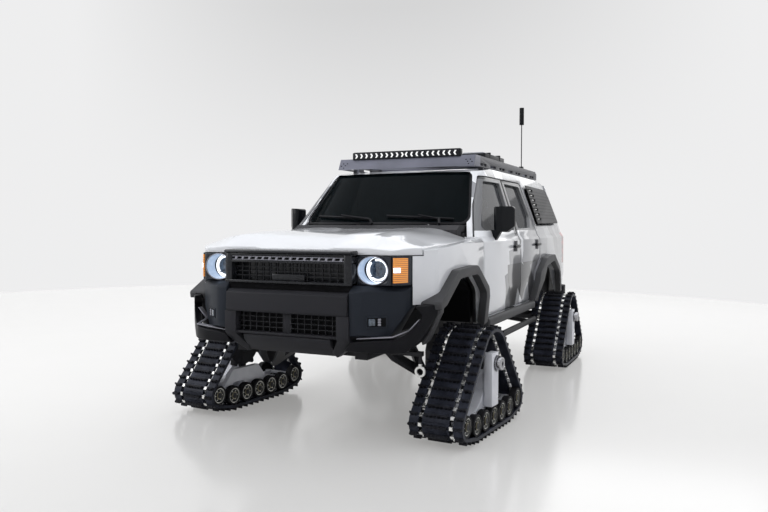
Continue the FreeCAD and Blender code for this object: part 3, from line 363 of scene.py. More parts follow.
def wrapped_paint(name, window_frames=False):
    """White paint with the grey wrap on what lies behind a slanting line across the front door."""
    paint = Finish(name, white, 0.32, coat=0.85)
    paint.set("Coat Roughness", 0.06)
    x, y, z = paint.axes()
    broad = patches(paint, 3.1, 0.62, 24, 0.55)
    narrow = patches(paint, 7.7, 0.30, -22, 0.42)
    shard = patches(paint, 5.3, 0.20, -40, 0.40)
    tone = paint.mix(broad > 0.24, white, grey_light)
    tone = paint.mix(broad > 0.52, tone, grey_mid)
    tone = paint.mix(broad > 0.90, tone, grey_dark)
    tone = paint.mix(narrow > 0.80, tone, grey_mid)
    tone = paint.mix((narrow > 0.62) * (narrow < 0.72), tone, white)
    tone = paint.mix(narrow < 0.07, tone, grey_dark)
    low = ((z < 1.10) * (y > -0.40)) * (y < 0.70)
    tone = paint.mix((shard > 0.66) * low, tone, white)
    tone = paint.mix((shard < 0.36) * low, tone, shard_black)
    side = x.math("ABSOLUTE") > 0.60
    edge = (narrow - 0.5) * 0.25
    behind = (y + z * 0.30 + edge) > -0.12
    tone = paint.mix(side * behind, white, tone)
    inner = (x.math("ABSOLUTE") < 0.845) * (z < 1.12)
    tone = paint.mix(inner, tone, inner_black)
    if window_frames:
        frames = (z > window_foot) * side
        tone = paint.mix(frames, tone, frame_grey)
        tone = paint.mix(frames * ((y - pillar_y).math("ABSOLUTE") < pillar_half), tone, pillar_black)
        tone = paint.mix(frames * (z > window_head), tone, pillar_black)
        paint.set("Coat Weight", (1.0 - frames) * 0.85)
    paint.set("Base Color", tone)
    return paint


wrap = wrapped_paint("wrapped_paint")
door_wrap = wrapped_paint("door_paint", True)
plain_white = Finish("white_paint", white, (30.0, 0.05, 0.275), coat=0.9)
plain_white.set("Coat Roughness", 0.05)
plain_white.set(
    "Base Color", plain_white.mix(plain_white.noise(2.5), tuple(0.975 * part for part in white), white)
)
plain_white.bump(plain_white.noise(700.0), 0.05, 0.0004)


def folded(node, finish, ease=0.004, segments=2):
    """A copy of a CAD panel with its flat faces joined up and its edges rounded."""
    source = frame["nodes"][node]
    panel = bpy.data.objects.new(node + "_panel", source.data.copy())
    scene.collection.objects.link(panel)
    only(panel)
    bpy.ops.object.mode_set(mode="EDIT")
    bpy.ops.mesh.select_all(action="SELECT")
    bpy.ops.mesh.remove_doubles(threshold=0.00002)
    bpy.ops.mesh.dissolve_limited(angle_limit=math.radians(0.6))
    bpy.ops.object.mode_set(mode="OBJECT")
    if ease:
        fold = panel.modifiers.new("fold", "BEVEL")
        fold.width = ease
        fold.segments = segments
        fold.limit_method = "ANGLE"
        fold.angle_limit = math.radians(28)
        fold.use_clamp_overlap = True
        bpy.ops.object.modifier_apply(modifier="fold")
    bpy.ops.object.shade_smooth_by_angle(angle=math.radians(32))
    panel.data.materials.clear()
    panel.data.materials.append(finish.made)
    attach(panel, body_of(source)[0])
    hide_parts(node)
    return panel


for node in ("body_sides", "roof_panel"):
    folded(node, wrap)
for node in ("front_door_left", "front_door_right", "rear_door_left", "rear_door_right"):
    folded(node, door_wrap)
wing_white = Finish("wing_white", white, 0.30, coat=0.9)
wing_white.set("Coat Roughness", 0.05)
wing_x, wing_y, wing_z = wing_white.axes()
arch_inside = ((wing_x.math("ABSOLUTE") < 0.888) * (wing_y > -2.10)) * (wing_z < 1.14)
wing_white.set("Base Color", wing_white.mix(arch_inside, white, inner_black))
wing_white.set("Coat Weight", (1.0 - arch_inside) * 0.9)
folded("fenders", wing_white, 0.006)
folded("tailgate", plain_white, 0.005)
folded("bonnet", plain_white, 0.006)

# ------------------------------------------------------------------ rubber belts
# Each track unit runs on a moulded rubber belt: three strips joined by a steel clip at every shoe, which
# leaves two rows of windows for the sprocket. Every shoe carries a row of black toothed lugs.

unit_x, belt_width, belt_wall = 0.985, 0.380, 0.022
front_axle_y, rear_axle_y, kingpin_x, rest_steer = -1.560, 1.290, 0.700, math.radians(-5)
roller_radius, roller_pitch, roller_z = 0.073, 0.152, 0.119
idler_y, idler_z, hub_z, sprocket_radius = 0.472, 0.150, 0.485, 0.215
# The wheels the belt bends round, as y, z and radius, in the order in which it meets them.
unit_wheels = [
    (-idler_y, idler_z, roller_radius), (-2 * roller_pitch, roller_z, roller_radius),
    (2 * roller_pitch, roller_z, roller_radius), (idler_y, idler_z, roller_radius),
    (0.0, hub_z, sprocket_radius)
]
shoe_count, window_x, window_half, lug_height = 44, 0.110, 0.014, 0.022

belt_rubber = Finish("belt_rubber", (0.026, 0.029, 0.040), 0.38)
belt_rubber.mottled(9, (0.016, 0.018, 0.026), (0.044, 0.048, 0.066), 0.35, 0.70)
belt_rubber.grained(90, 4, 0.22, 0.26, 0.12, 0.002)
lug_rubber = Finish("lug_rubber", (0.012, 0.012, 0.015), (60, 0.3, 0.38))
lug_rubber.mottled(14, (0.008, 0.008, 0.010), (0.024, 0.025, 0.031), 0.3, 0.75)
clip_steel = Finish("clip_steel", (0.80, 0.80, 0.78), (120, 0.22, 0.16), metallic=1.0)
clip_steel.mottled(25, (0.62, 0.62, 0.60), (0.88, 0.88, 0.86))


def belt_stations(count, lift):
    """Equally spaced (y, z, outward angle) places round the belt, at a height above the wheels' rims."""
    follow = unit_wheels[1:] + unit_wheels[:1]
    turns = []
    for (y0, z0, r0), (y1, z1, r1) in zip(unit_wheels, follow):
        lean = math.asin((r0 - r1) / math.hypot(y1 - y0, z1 - z0))
        turns.append(math.atan2(z1 - z0, y1 - y0) - math.pi / 2 + lean)
    route = []
    for i, (y, z, r) in enumerate(unit_wheels):
        sweep = (turns[i] - turns[i - 1]) % (2 * math.pi)
        steps = max(2, round(sweep * 16))
        for step in range(steps + 1):
            angle = turns[i - 1] + sweep * step / steps
            route.append((y + (r + lift) * math.cos(angle), z + (r + lift) * math.sin(angle), angle))
    route.append((route[0][0], route[0][1], route[0][2] + 2 * math.pi))
    lengths = [0.0]
    for a, b in zip(route, route[1:]):
        lengths.append(lengths[-1] + math.hypot(b[0] - a[0], b[1] - a[1]))
    stations, k = [], 0
    for n in range(count):
        target = lengths[-1] * n / count
        while lengths[k + 1] < target:
            k += 1
        share = (target - lengths[k]) / (lengths[k + 1] - lengths[k])
        a, b = route[k], route[k + 1]
        turn = (b[2] - a[2] + math.pi) % (2 * math.pi) - math.pi
        stations.append((a[0] + (b[0] - a[0]) * share, a[1] + (b[1] - a[1]) * share, a[2] + turn * share))
    return stations


def polygon(name, outline, place):
    """A flat polygon whose corners are set one by one. place turns a corner's two values into a point."""
    nothing_selected()
    bpy.ops.mesh.primitive_circle_add(vertices=len(outline), radius=1, fill_type="NGON")
    piece = bpy.context.object
    piece.name = name
    for vertex, corner in zip(piece.data.vertices, outline):
        vertex.co = place(*corner)
    return piece


def edit_all(piece):
    """Enters edit mode with all of a piece selected."""
    only(piece)
    bpy.ops.object.mode_set(mode="EDIT")
    bpy.ops.mesh.select_all(action="SELECT")


def finish_edit():
    """Turns every face of the edited piece outwards and leaves edit mode."""
    bpy.ops.mesh.select_all(action="SELECT")
    bpy.ops.mesh.normals_make_consistent(inside=False)
    bpy.ops.object.mode_set(mode="OBJECT")


def extruded(name, outline, place, push, ease=0.0, segments=2):
    """A plate: a polygon extruded by a vector, with its edges eased."""
    piece = polygon(name, outline, place)
    edit_all(piece)
    bpy.ops.mesh.extrude_region_move(TRANSFORM_OT_translate={"value": push})
    finish_edit()
    eased(piece, ease, segments)
    return piece


def eased(piece, ease, segments=2):
    """Rounds a piece's sharp edges."""
    if ease:
        only(piece)
        fold = piece.modifiers.new("ease", "BEVEL")
        fold.width, fold.segments = ease, segments
        fold.limit_method, fold.angle_limit = "ANGLE", math.radians(30)
        bpy.ops.object.modifier_apply(modifier="ease")
        bpy.ops.object.shade_smooth_by_angle(angle=math.radians(35))


def block(name, low, high, ease=0.0, segments=2):
    """A box between two corners with eased edges."""
    nothing_selected()
    middle = [(a + b) / 2 for a, b in zip(low, high)]
    bpy.ops.mesh.primitive_cube_add(size=1, location=middle)
    piece = bpy.context.object
    piece.name = name
    piece.scale = [b - a for a, b in zip(low, high)]
    settle(piece)
    eased(piece, ease, segments)
    return piece


def tube(name, start, end, radius, sides=24, ease=0.0):
    """A round bar between two points."""
    nothing_selected()
    start, end = Vector(start), Vector(end)
    bpy.ops.mesh.primitive_cylinder_add(
        vertices=sides, radius=radius, depth=(end - start).length, location=(start + end) / 2
    )
    piece = bpy.context.object
    piece.name = name
    piece.rotation_euler = (end - start).to_track_quat("Z", "Y").to_euler()
    settle(piece)
    eased(piece, ease)
    bpy.ops.object.shade_smooth_by_angle(angle=math.radians(35))
    return piece


def joined(name, pieces):
    """Several pieces as one mesh."""
    nothing_selected()
    for piece in pieces:
        piece.select_set(True)
    bpy.context.view_layer.objects.active = pieces[0]
    bpy.ops.object.join()
    pieces[0].name = name
    return pieces[0]


def moved_copy(piece, matrix, name=None):
    """A copy with its own mesh, moved or mirrored by a matrix."""
    copy = bpy.data.objects.new(name or piece.name, piece.data.copy())
    scene.collection.objects.link(copy)
    copy.data.transform(matrix)
    if matrix.to_3x3().determinant() < 0:
        copy.data.flip_normals()
    return copy


def coloured(piece, *finishes):
    """Gives a piece its materials, one slot each."""
    piece.data.materials.clear()
    for finish in finishes:
        piece.data.materials.append(finish.made)
    return piece


other_side = Matrix.Scale(-1, 4, (1, 0, 0))


def both_sides(piece):
    """The piece and its mirror image as one."""
    return joined(piece.name, [piece, moved_copy(piece, other_side)])


def strip(name, near, far):
    """One of the belt's strips, between two distances from its middle."""
    route = belt_stations(132, 0.0)
    piece = polygon(name, [(y, z) for y, z, _ in route], lambda y, z: (near, y, z))
    edit_all(piece)
    bpy.ops.mesh.delete(type="ONLY_FACE")
    bpy.ops.mesh.select_all(action="SELECT")
    bpy.ops.mesh.extrude_region_move(TRANSFORM_OT_translate={"value": (far - near, 0, 0)})
    finish_edit()
    wall = piece.modifiers.new("wall", "SOLIDIFY")
    wall.thickness, wall.offset = belt_wall, 1.0
    bpy.ops.object.modifier_apply(modifier="wall")
    bpy.ops.object.shade_smooth_by_angle(angle=math.radians(35))
    return coloured(piece, belt_rubber)


def toothed_bar(name, near, far, teeth):
    """One lug of a shoe: a tapering bar whose two long sides are notched like a saw."""
    pitch = (far - near) / teeth
    front, back = [], []
    for i in range(teeth):
        foot = near + pitch * i
        front += [(foot + pitch * 0.12, -0.008), (foot + pitch * 0.5, -0.016)]
        back += [(foot + pitch * 0.12, 0.011), (foot + pitch * 0.5, 0.006)]
    outline = [(near, -0.006)] + front + [(far, -0.006), (far, 0.010)] + back[::-1] + [(near, 0.010)]
    bar = polygon(name, outline, lambda across, along: (across, along, 0.0))
    edit_all(bar)
    bpy.ops.mesh.extrude_region_move(TRANSFORM_OT_translate={"value": (0, 0, lug_height)})
    bpy.ops.transform.resize(value=(0.97, 0.62, 1))
    finish_edit()
    return coloured(bar, lug_rubber)


def shoe():
    """One row of the tread: three toothed lugs, and a clip over each line of windows."""
    half = belt_width / 2
    parts = [
        toothed_bar("lug_mid", -0.086, 0.086, 6), toothed_bar("lug_in", -half, -0.134, 2),
        toothed_bar("lug_out", 0.134, half, 2)
    ]
    for side in (-1, 1):
        middle = side * window_x
        rib = block(
            "rib", (middle - window_half - 0.004, -0.011, -belt_wall),
            (middle + window_half + 0.004, 0.011, 0.001), 0.002, 1
        )
        clip = block(
            "clip", (middle - window_half + 0.001, -0.013, -belt_wall - 0.002),
            (middle + window_half - 0.001, 0.013, 0.004), 0.002, 1
        )
        parts += [coloured(rib, belt_rubber), coloured(clip, clip_steel)]
    for near, far in ((-0.080, -0.012), (0.012, 0.080)):
        ridge = block("ridge", (near, 0.024, -0.001), (far, 0.030, 0.003), 0.001, 1)
        parts.append(coloured(ridge, belt_rubber))
    return joined("shoe", parts)


def belt():
    """A whole belt, centred across the car, with its hub above the origin."""
    half = belt_width / 2
    gap = window_x - window_half, window_x + window_half
    parts = [
        strip("belt_middle", -gap[0], gap[0]), strip("belt_inner", -half, -gap[1]),
        strip("belt_outer", gap[1], half)
    ]
    pattern = shoe()
    for y, z, angle in belt_stations(shoe_count, belt_wall):
        turn = Matrix.Translation((0, y, z)) @ Matrix.Rotation(angle - math.pi / 2, 4, "X")
        parts.append(moved_copy(pattern, turn))
    bpy.data.objects.remove(pattern)
    return joined("belt", parts)


def steered(side):
    """The turn of a front unit about its kingpin, as the car stands."""
    pin = Matrix.Translation((side * kingpin_x, front_axle_y, 0))
    return pin @ Matrix.Rotation(rest_steer, 4, "Z") @ pin.inverted()


def unit_place(side, front):
    """Takes a left-hand piece made about a unit's own hub line to its place on the car."""
    axle = front_axle_y if front else rear_axle_y
    turn = Matrix.Translation((side * unit_x, axle, 0))
    if side < 0:
        turn = turn @ other_side
    return steered(side) @ turn if front else turn


def on_units(pattern, nodes):
    """Copies a unit's piece to all four corners. Its nodes are the CAD's left, right and rear ones."""
    for side, tag in ((1, "left"), (-1, "right")):
        copy = moved_copy(pattern, unit_place(side, True), f"{pattern.name}_front_{tag}")
        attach(copy, f"{tag}_steered_track")
        if nodes:
            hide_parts(nodes[0] if side > 0 else nodes[1])
    rear = joined(
        f"{pattern.name}_rear", [moved_copy(pattern, unit_place(side, False)) for side in (1, -1)]
    )
    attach(rear, "body")
    if nodes:
        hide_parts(nodes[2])
    bpy.data.objects.remove(pattern)


on_units(belt(), ("front_track_left", "front_track_right", "rear_tracks"))

# ------------------------------------------------------------------ track wheels
# Seven pairs of rubber-rimmed wheels carry each belt: a black tyre on a bright pressed rim, a dark disc
# and a brass-coloured bearing cap held by a ring of bolts.

wheel_rubber = Finish("wheel_rubber", (0.016, 0.016, 0.018), (70, 0.3, 0.4))
wheel_rim = Finish("wheel_rim", (0.62, 0.62, 0.58), (80, 0.3, 0.18), metallic=0.9)
wheel_disc = Finish("wheel_disc", (0.035, 0.036, 0.040), (50, 0.3, 0.3), metallic=0.3)
wheel_brass = Finish("wheel_brass", (0.26, 0.245, 0.19), 0.35, metallic=1.0)
wheel_brass.mottled(40, (0.18, 0.17, 0.13), (0.36, 0.34, 0.26))


def pick_facing(piece, direction, reach):
    """Enters edit mode with the flat face selected that looks along a direction at a distance."""
    for polygon_face in piece.data.polygons:
        aligned = polygon_face.normal.dot(Vector(direction)) > 0.99
        polygon_face.select = aligned and abs(polygon_face.center.dot(Vector(direction)) - reach) < 1e-4
    for edge in piece.data.edges:
        edge.select = False
    bpy.ops.object.mode_set(mode="EDIT")


def press(rim, push, slot):
    """Insets the selected face, pushes what is left along X and gives it a material slot."""
    if rim:
        bpy.ops.mesh.inset(thickness=rim)
    bpy.context.object.active_material_index = slot
    bpy.ops.object.material_slot_assign()
    bpy.ops.mesh.extrude_region_move(TRANSFORM_OT_translate={"value": (push, 0, 0)})
    bpy.ops.object.material_slot_assign()


def bolt_ring(name, count, x, z, ring, radius, height, finish):
    """Hexagonal bolt heads in a ring about a line across the car."""
    bolts = []
    for i in range(count):
        angle = math.tau * i / count
        spot = Vector((x, ring * math.cos(angle), z + ring * math.sin(angle)))
        bolts.append(coloured(tube(name, spot, spot + Vector((height, 0, 0)), radius, 6), finish))
    return bolts


def track_wheel(radius, width):
    """A wheel across the car: tyre, rim, disc and cap pressed one after another into its outer face."""
    nothing_selected()
    bpy.ops.mesh.primitive_cylinder_add(
        vertices=28, radius=radius, depth=width, rotation=(0, math.pi / 2, 0)
    )
    wheel = bpy.context.object
    wheel.name = "track_wheel"
    settle(wheel)
    eased(wheel, 0.004, 1)
    coloured(wheel, wheel_rubber, wheel_rim, wheel_disc, wheel_brass)
    pick_facing(wheel, (1, 0, 0), width / 2)
    bpy.ops.mesh.select_mode(type="FACE")
    press(0.012, -0.003, 1)
    press(0.006, -0.010, 2)
    press(0.022, 0.009, 3)
    press(0.007, 0.005, 2)
    bpy.ops.object.mode_set(mode="OBJECT")
    bpy.ops.object.shade_smooth_by_angle(angle=math.radians(30))
    return joined(
        "track_wheel",
        [wheel] + bolt_ring("bolt", 6, width / 2 - 0.013, 0.0, 0.037, 0.0045, 0.005, wheel_rim)
    )


wheel_x = 0.160


def wheel_set():
    """A unit's fourteen wheels, two on each axle line."""
    outer = track_wheel(roller_radius, 0.052)
    inner = moved_copy(outer, other_side)
    spots = [(-idler_y, idler_z)] + [
        (roller_pitch * i, roller_z) for i in range(-2, 3)
    ] + [(idler_y, idler_z)]
    parts = []
    for y, z in spots:
        parts += [
            moved_copy(outer, Matrix.Translation((wheel_x, y, z))),
            moved_copy(inner, Matrix.Translation((-wheel_x, y, z)))
        ]
    bpy.data.objects.remove(outer)
    bpy.data.objects.remove(inner)
    return joined("track_wheels", parts)


on_units(wheel_set(), ("rollers_left", "rollers_right", "rear_rollers"))

# ------------------------------------------------------------------ track frames
# Welded steel frames in pale grey paint: an upright leg that flares into a foot, and a plate inside the
# belt. The hub in the leg ends in a dark drum with a polished cap.

frame_paint = Finish("frame_paint", (0.82, 0.83, 0.87), (55, 0.3, 0.28), metallic=0.2)
frame_paint.mottled(7, (0.76, 0.77, 0.82), (0.88, 0.89, 0.93), 0.35, 0.70)
frame_paint.bump(frame_paint.noise(160), 0.05, 0.001)
sprocket_black = Finish("sprocket_black", (0.03, 0.03, 0.034), (40, 0.3, 0.35))
hub_polish = Finish("hub_polish", (0.36, 0.36, 0.38), (90, 0.16, 0.10), metallic=1.0)

for node in ("track_frame_left", "track_frame_right", "rear_track_frames"):
    folded(node, frame_paint, 0.003, 1)
for node in ("sprocket_left", "sprocket_right", "rear_sprockets"):
    folded(node, sprocket_black, 0.003, 1)


def hub_end():
    """The drum round the hub's end, its polished cap and the cap's ring of bolts."""
    drum_end, cap_end = 0.196, 0.240
    drum = coloured(tube("drum", (0.088, 0, hub_z), (drum_end, 0, hub_z), 0.060, 32, 0.004), sprocket_black)
    cap = coloured(
        tube("cap", (0.150, 0, hub_z), (cap_end, 0, hub_z), 0.046, 32, 0.006), hub_polish, sprocket_black
    )
    pick_facing(cap, (1, 0, 0), cap_end)
    bpy.ops.mesh.select_mode(type="FACE")
    press(0.010, -0.004, 0)
    press(0.014, 0.004, 1)
    bpy.ops.object.mode_set(mode="OBJECT")
    return joined(
        "hub_end", [drum, cap] + bolt_ring("hub_bolt", 8, drum_end, hub_z, 0.054, 0.004, 0.004, hub_polish)
    )


on_units(hub_end(), None)


def trimmed(piece, point, normal):
    """Cuts away what lies beyond a plane and closes the cut."""
    edit_all(piece)
    bpy.ops.mesh.bisect(plane_co=point, plane_no=normal, use_fill=True, clear_outer=True)
    bpy.ops.object.mode_set(mode="OBJECT")
    return piece


def level_plate(name, outline, low, height, ease=0.0):
    """A plan of (x, y) corners carried upwards."""
    return extruded(name, outline, lambda x, y: (x, y, low), (0, 0, height), ease)


def unit_leg():
    """The upright box-section leg beside the hub, its front inner edge cut off at a slant."""
    leg = level_plate(
        "unit_leg", [(0.112, 0.035), (0.112, -0.045), (0.140, -0.084), (0.196, -0.084), (0.196, 0.035)],
        0.196, 0.366
    )
    trimmed(leg, (0.112, 0, 0.532), (-0.7, 0, 0.7))
    eased(leg, 0.005, 2)
    return coloured(leg, frame_paint)


on_units(unit_leg(), None)

# ------------------------------------------------------------------ grille
# A gloss black moulding screwed to the nose: a frame round a mesh of thin bars, a pale slotted strip above
# it and a rounded cap along the bonnet's edge. A plain plate sits in the middle of the mesh.

grille_y, grille_half, mouth_half = -2.430, 0.480, 0.425
mesh_low, mesh_high, strip_low, strip_high = 1.068, 1.186, 1.203, 1.227

gloss_black = Finish("gloss_black", (0.016, 0.017, 0.020), (35, 0.16, 0.20), coat=0.3)
deep_black = Finish("deep_black", (0.004, 0.004, 0.005), (30, 0.2, 0.6))
satin_silver = Finish("satin_silver", (0.30, 0.30, 0.34), (90, 0.2, 0.25), metallic=0.5)


def lattice(name, across, up, y, low, high, thick):
    """Crossed bars: uprights at the places across, level bars at the places up."""
    (left, right), (bottom, top) = (low[0], high[0]), (low[1], high[1])
    bars = [block(name, (x - thick / 2, y, bottom), (x + thick / 2, y + 0.012, top)) for x in across]
    bars += [block(name, (left, y, z - thick / 2), (right, y + 0.010, z + thick / 2)) for z in up]
    return joined(name, bars)


def spread(start, end, count):
    """Evenly spaced values from start to end."""
    return [start + (end - start) * i / (count - 1) for i in range(count)]


def upright_plate(name, outline, y, depth, ease=0.0, segments=2):
    """A front view of (x, z) corners carried along the car."""
    return extruded(name, outline, lambda x, z: (x, y, z), (0, depth, 0), ease, segments)


def across_car(name, profile, half):
    """A profile of (y, z) corners carried across the car."""
    return extruded(name, profile, lambda y, z: (-half, y, z), (2 * half, 0, 0), 0.006, 3)


def on_body(piece, *nodes):
    """Fixes a piece to the body, in place of the CAD nodes that it stands for."""
    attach(piece, "body")
    if nodes:
        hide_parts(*nodes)
    return piece


back = -2.335
frame_bars = [
    block("grille_sill", (-grille_half, grille_y, 1.052), (grille_half, back, mesh_low), 0.004),
    block(
        "grille_brow", (-grille_half, grille_y + 0.004, mesh_high), (grille_half, back, strip_low - 0.003),
        0.004
    ),
    block(
        "grille_lintel", (-grille_half, grille_y + 0.004, strip_high + 0.003), (grille_half, back, 1.246),
        0.003
    ),
    # The backing is a dark sheet behind the mesh and the strip: painted shade in the opening.
    block(
        "grille_shade_backing", (-mouth_half, back - 0.020, mesh_low - 0.01),
        (mouth_half, back, strip_high + 0.02), 0.002
    ),
    block("sensor_plate", (-0.125, grille_y + 0.030, mesh_low), (0.125, back - 0.03, 1.112), 0.004)
]
for side in (-1, 1):
    frame_bars.append(
        level_plate(
            "grille_post",
            [
                (side * mouth_half, grille_y + 0.004), (side * (mouth_half + 0.03), grille_y),
                (side * grille_half, grille_y + 0.008), (side * grille_half, back),
                (side * mouth_half, back)
            ],
            1.053, 0.193, 0.004
        )
    )
cap = across_car(
    "grille_cap",
    [(-2.336, 1.244), (-2.415, 1.246), (-2.441, 1.250), (-2.444, 1.262), (-2.425, 1.270), (-2.336, 1.272)],
    grille_half
)
grille_body = joined("grille_frame", frame_bars + [cap])
on_body(coloured(grille_body, gloss_black), "grille")
mesh = lattice(
    "grille_mesh", spread(-mouth_half + 0.004, mouth_half - 0.004, 16),
    spread(mesh_low + 0.03, mesh_high - 0.03, 3), grille_y + 0.040, (-mouth_half, mesh_low),
    (mouth_half, mesh_high), 0.0045
)
on_body(coloured(mesh, gloss_black))

slats = []
slot_count, slot_half = 18, 0.452
slot_pitch = 2 * slot_half / (slot_count - 1)
for i in range(slot_count):
    x = -slot_half + slot_pitch * i
    slats.append(
        upright_plate(
            "slot_bar",
            [(x - 0.010, strip_low), (x + 0.008, strip_low), (x + 0.018, strip_high), (x, strip_high)],
            grille_y + 0.010, 0.012, 0.0015, 1
        )
    )
for low in (strip_low - 0.001, strip_high - 0.004):
    slats.append(
        block(
            "slot_rail", (-0.462, grille_y + 0.008, low), (0.465, grille_y + 0.022, low + 0.005), 0.001, 1
        )
    )
on_body(coloured(joined("slotted_strip", slats), satin_silver))

# ------------------------------------------------------------------ headlamps
# A dark square housing beside the grille holds a round lamp: a bluish bowl whose glow is a painted
# reflection, a lit ring open at the top and a dark projector lens. The amber turn lamp wraps round the
# corner, with a white light in the middle.

lamp_x, lamp_z, lamp_y, ring_radius = 0.590, 1.148, -2.352, 0.065
lamp_top, lamp_bottom = 1.238, 1.056

housing_black = Finish("housing_black", (0.022, 0.026, 0.034), (30, 0.15, 0.22), coat=0.4)
# The bowl is no lamp: its bluish glow is a painted reflection.
bowl_painted_reflection = Finish("bowl_painted_reflection", (0.34, 0.42, 0.54), 0.15)
bowl_painted_reflection.mottled(30, (0.42, 0.55, 0.74), (0.62, 0.74, 0.90), socket="Emission Color")
bowl_painted_reflection.set("Emission Strength", 0.42)
ring_glow = Finish("ring_glow", (0.95, 0.97, 1.0), 0.2)
ring_glow.mottled(12, (0.93, 0.96, 1.0), (1.0, 1.0, 1.0), socket="Emission Color")
ring_glow.set("Emission Strength", 1.0)
inner_grey = Finish("inner_reflector", (0.10, 0.13, 0.17), (80, 0.15, 0.15), metallic=0.5)
lens_dark = Finish("lens_dark", (0.05, 0.07, 0.10), 0.08, coat=1.0)
lens_dark.mottled(40, (0.02, 0.035, 0.055), (0.10, 0.14, 0.19), 0.35, 0.7)
amber = Finish("amber_lens", (0.90, 0.30, 0.03), 0.12, coat=1.0)
amber_z = amber.axes()[2]
rib = (amber_z * 520.0).math("SINE") * 0.5 + 0.5
amber.set("Base Color", amber.mix(rib, (0.52, 0.16, 0.035), (0.95, 0.36, 0.03)))
amber.set("Emission Color", amber.mix(rib, (0.30, 0.07, 0.01), (0.95, 0.36, 0.03)))
amber.set("Emission Strength", 0.30)


def disc(name, x, y, z, radius, deep, ease=0.003, sides=48):
    """A short round piece that faces forwards."""
    return tube(name, (x, y + deep, z), (x, y, z), radius, sides, ease)


def arc_ring(name, x, y, z, radius, thick, start=0.0, end=math.tau):
    """A ring, or part of one, that faces forwards: a small circle spun about the lamp's axis."""
    nothing_selected()
    place = (x + radius * math.cos(start), y, z + radius * math.sin(start))
    bpy.ops.mesh.primitive_circle_add(vertices=10, radius=thick, location=place, fill_type="NOTHING")
    piece = bpy.context.object
    piece.name = name
    piece.rotation_euler = Vector((-math.sin(start), 0, math.cos(start))).to_track_quat("Z", "Y").to_euler()
    settle(piece)
    edit_all(piece)
    bpy.ops.mesh.spin(steps=40, angle=end - start, center=(x, y, z), axis=(0, -1, 0))
    finish_edit()
    bpy.ops.object.shade_smooth()
    return piece


def combined(first, second, operation):
    """What two pieces share, or the first less the second."""
    only(first)
    cut = first.modifiers.new("cut", "BOOLEAN")
    cut.operation, cut.object = operation, second
    bpy.ops.object.modifier_apply(modifier="cut")
    bpy.data.objects.remove(second)
    return first


def widened(piece, factor):
    """Stretches a lamp piece sideways about the lamp's axis."""
    piece.data.transform(
        Matrix.Translation((lamp_x, 0, 0)) @ Matrix.Diagonal((factor, 1, 1, 1))
        @ Matrix.Translation((-lamp_x, 0, 0))
    )
    return piece


well_y, oval = -2.262, 1.20
housing = level_plate(
    "lamp_housing",
    [(0.479, lamp_y + 0.006), (0.700, lamp_y), (0.712, lamp_y + 0.008), (0.712, -2.22), (0.479, -2.22)],
    lamp_bottom, lamp_top - lamp_bottom, 0.005
)
well = widened(
    disc("lamp_well", lamp_x, lamp_y - 0.03, lamp_z, 0.088, well_y + 0.004 - lamp_y + 0.03, 0.0), oval
)
housing = coloured(combined(housing, well, "DIFFERENCE"), housing_black)
nothing_selected()
bpy.ops.mesh.primitive_cone_add(
    vertices=48, radius1=0.0875, radius2=0.084, depth=well_y - lamp_y - 0.004, end_fill_type="NOTHING",
    location=(lamp_x, (lamp_y + well_y) / 2 + 0.002, lamp_z), rotation=(-math.pi / 2, 0, 0)
)
bowl = bpy.context.object
bowl.name = "lamp_bowl"
settle(bowl)
bpy.ops.object.shade_smooth()
widened(bowl, oval).data.flip_normals()
groove = widened(disc("lamp_groove", lamp_x, well_y - 0.002, lamp_z, 0.084, 0.004), 1.15)
inner_bowl = disc("lamp_inner_bowl", lamp_x, well_y - 0.006, lamp_z, ring_radius + 0.002, 0.006)
lens = disc("lamp_lens", lamp_x, well_y - 0.014, lamp_z, 0.052, 0.012, 0.005)
ring = joined(
    "lamp_ring",
    [
        arc_ring(
            "halo", lamp_x, well_y - 0.010, lamp_z, ring_radius, 0.0078, math.radians(105),
            math.radians(435)
        ),
        arc_ring("outer_halo", lamp_x, well_y - 0.006, lamp_z, 0.081, 0.0026)
    ]
)
rim = widened(arc_ring("lamp_rim", lamp_x, lamp_y - 0.001, lamp_z, 0.089, 0.0026), oval)
projector = [
    disc("projector", lamp_x, well_y - 0.020, lamp_z, 0.026, 0.010, 0.004, 32),
    block(
        "projector_bar", (lamp_x - 0.046, well_y - 0.018, lamp_z - 0.046),
        (lamp_x + 0.046, well_y - 0.012, lamp_z - 0.038), 0.002
    )
]
turn_lamp = level_plate(
    "turn_lamp",
    [(0.722, lamp_y + 0.012), (0.733, lamp_y + 0.010), (0.792, -2.262), (0.800, -2.225), (0.722, -2.225)],
    lamp_bottom + 0.014, 0.160, 0.006
)
turn_frame = level_plate(
    "turn_frame",
    [(0.712, lamp_y + 0.018), (0.735, lamp_y + 0.018), (0.796, -2.255), (0.806, -2.215), (0.712, -2.215)],
    lamp_bottom, 0.184, 0.004
)
day_light = level_plate(
    "day_light", [(0.728, lamp_y + 0.008), (0.736, lamp_y + 0.005), (0.764, -2.308), (0.755, -2.300)],
    1.136, 0.032, 0.002
)
lamp_parts = [
    housing, coloured(bowl, bowl_painted_reflection), coloured(groove, housing_black), coloured(inner_bowl, inner_grey),
    coloured(lens, lens_dark), coloured(ring, ring_glow), coloured(rim, satin_silver),
    coloured(joined("projector", projector), lens_dark), coloured(turn_lamp, amber),
    coloured(turn_frame, housing_black), coloured(day_light, ring_glow)
]
on_body(both_sides(joined("headlamps_shown", lamp_parts)), "headlamps")

# ------------------------------------------------------------------ front bumper
# Dark grained plastic bolted to the rails: a wide bar and two posts round a meshed opening, a swept box at
# each corner with its fog lamp, a lip that rises to the wheel arch and an inclined skid.

bar_y, bar_half, post_in = -2.456, 0.458, 0.380

bumper_grey = Finish("bumper_grey", (0.028, 0.028, 0.032), 0.45)
bumper_grey.grained(420, 2, 0.25, 0.34, 0.10, 0.0008)
corner_grey = Finish("corner_grey", (0.022, 0.026, 0.034), 0.42)
corner_grey.grained(420, 2, 0.22, 0.32, 0.08, 0.0008)

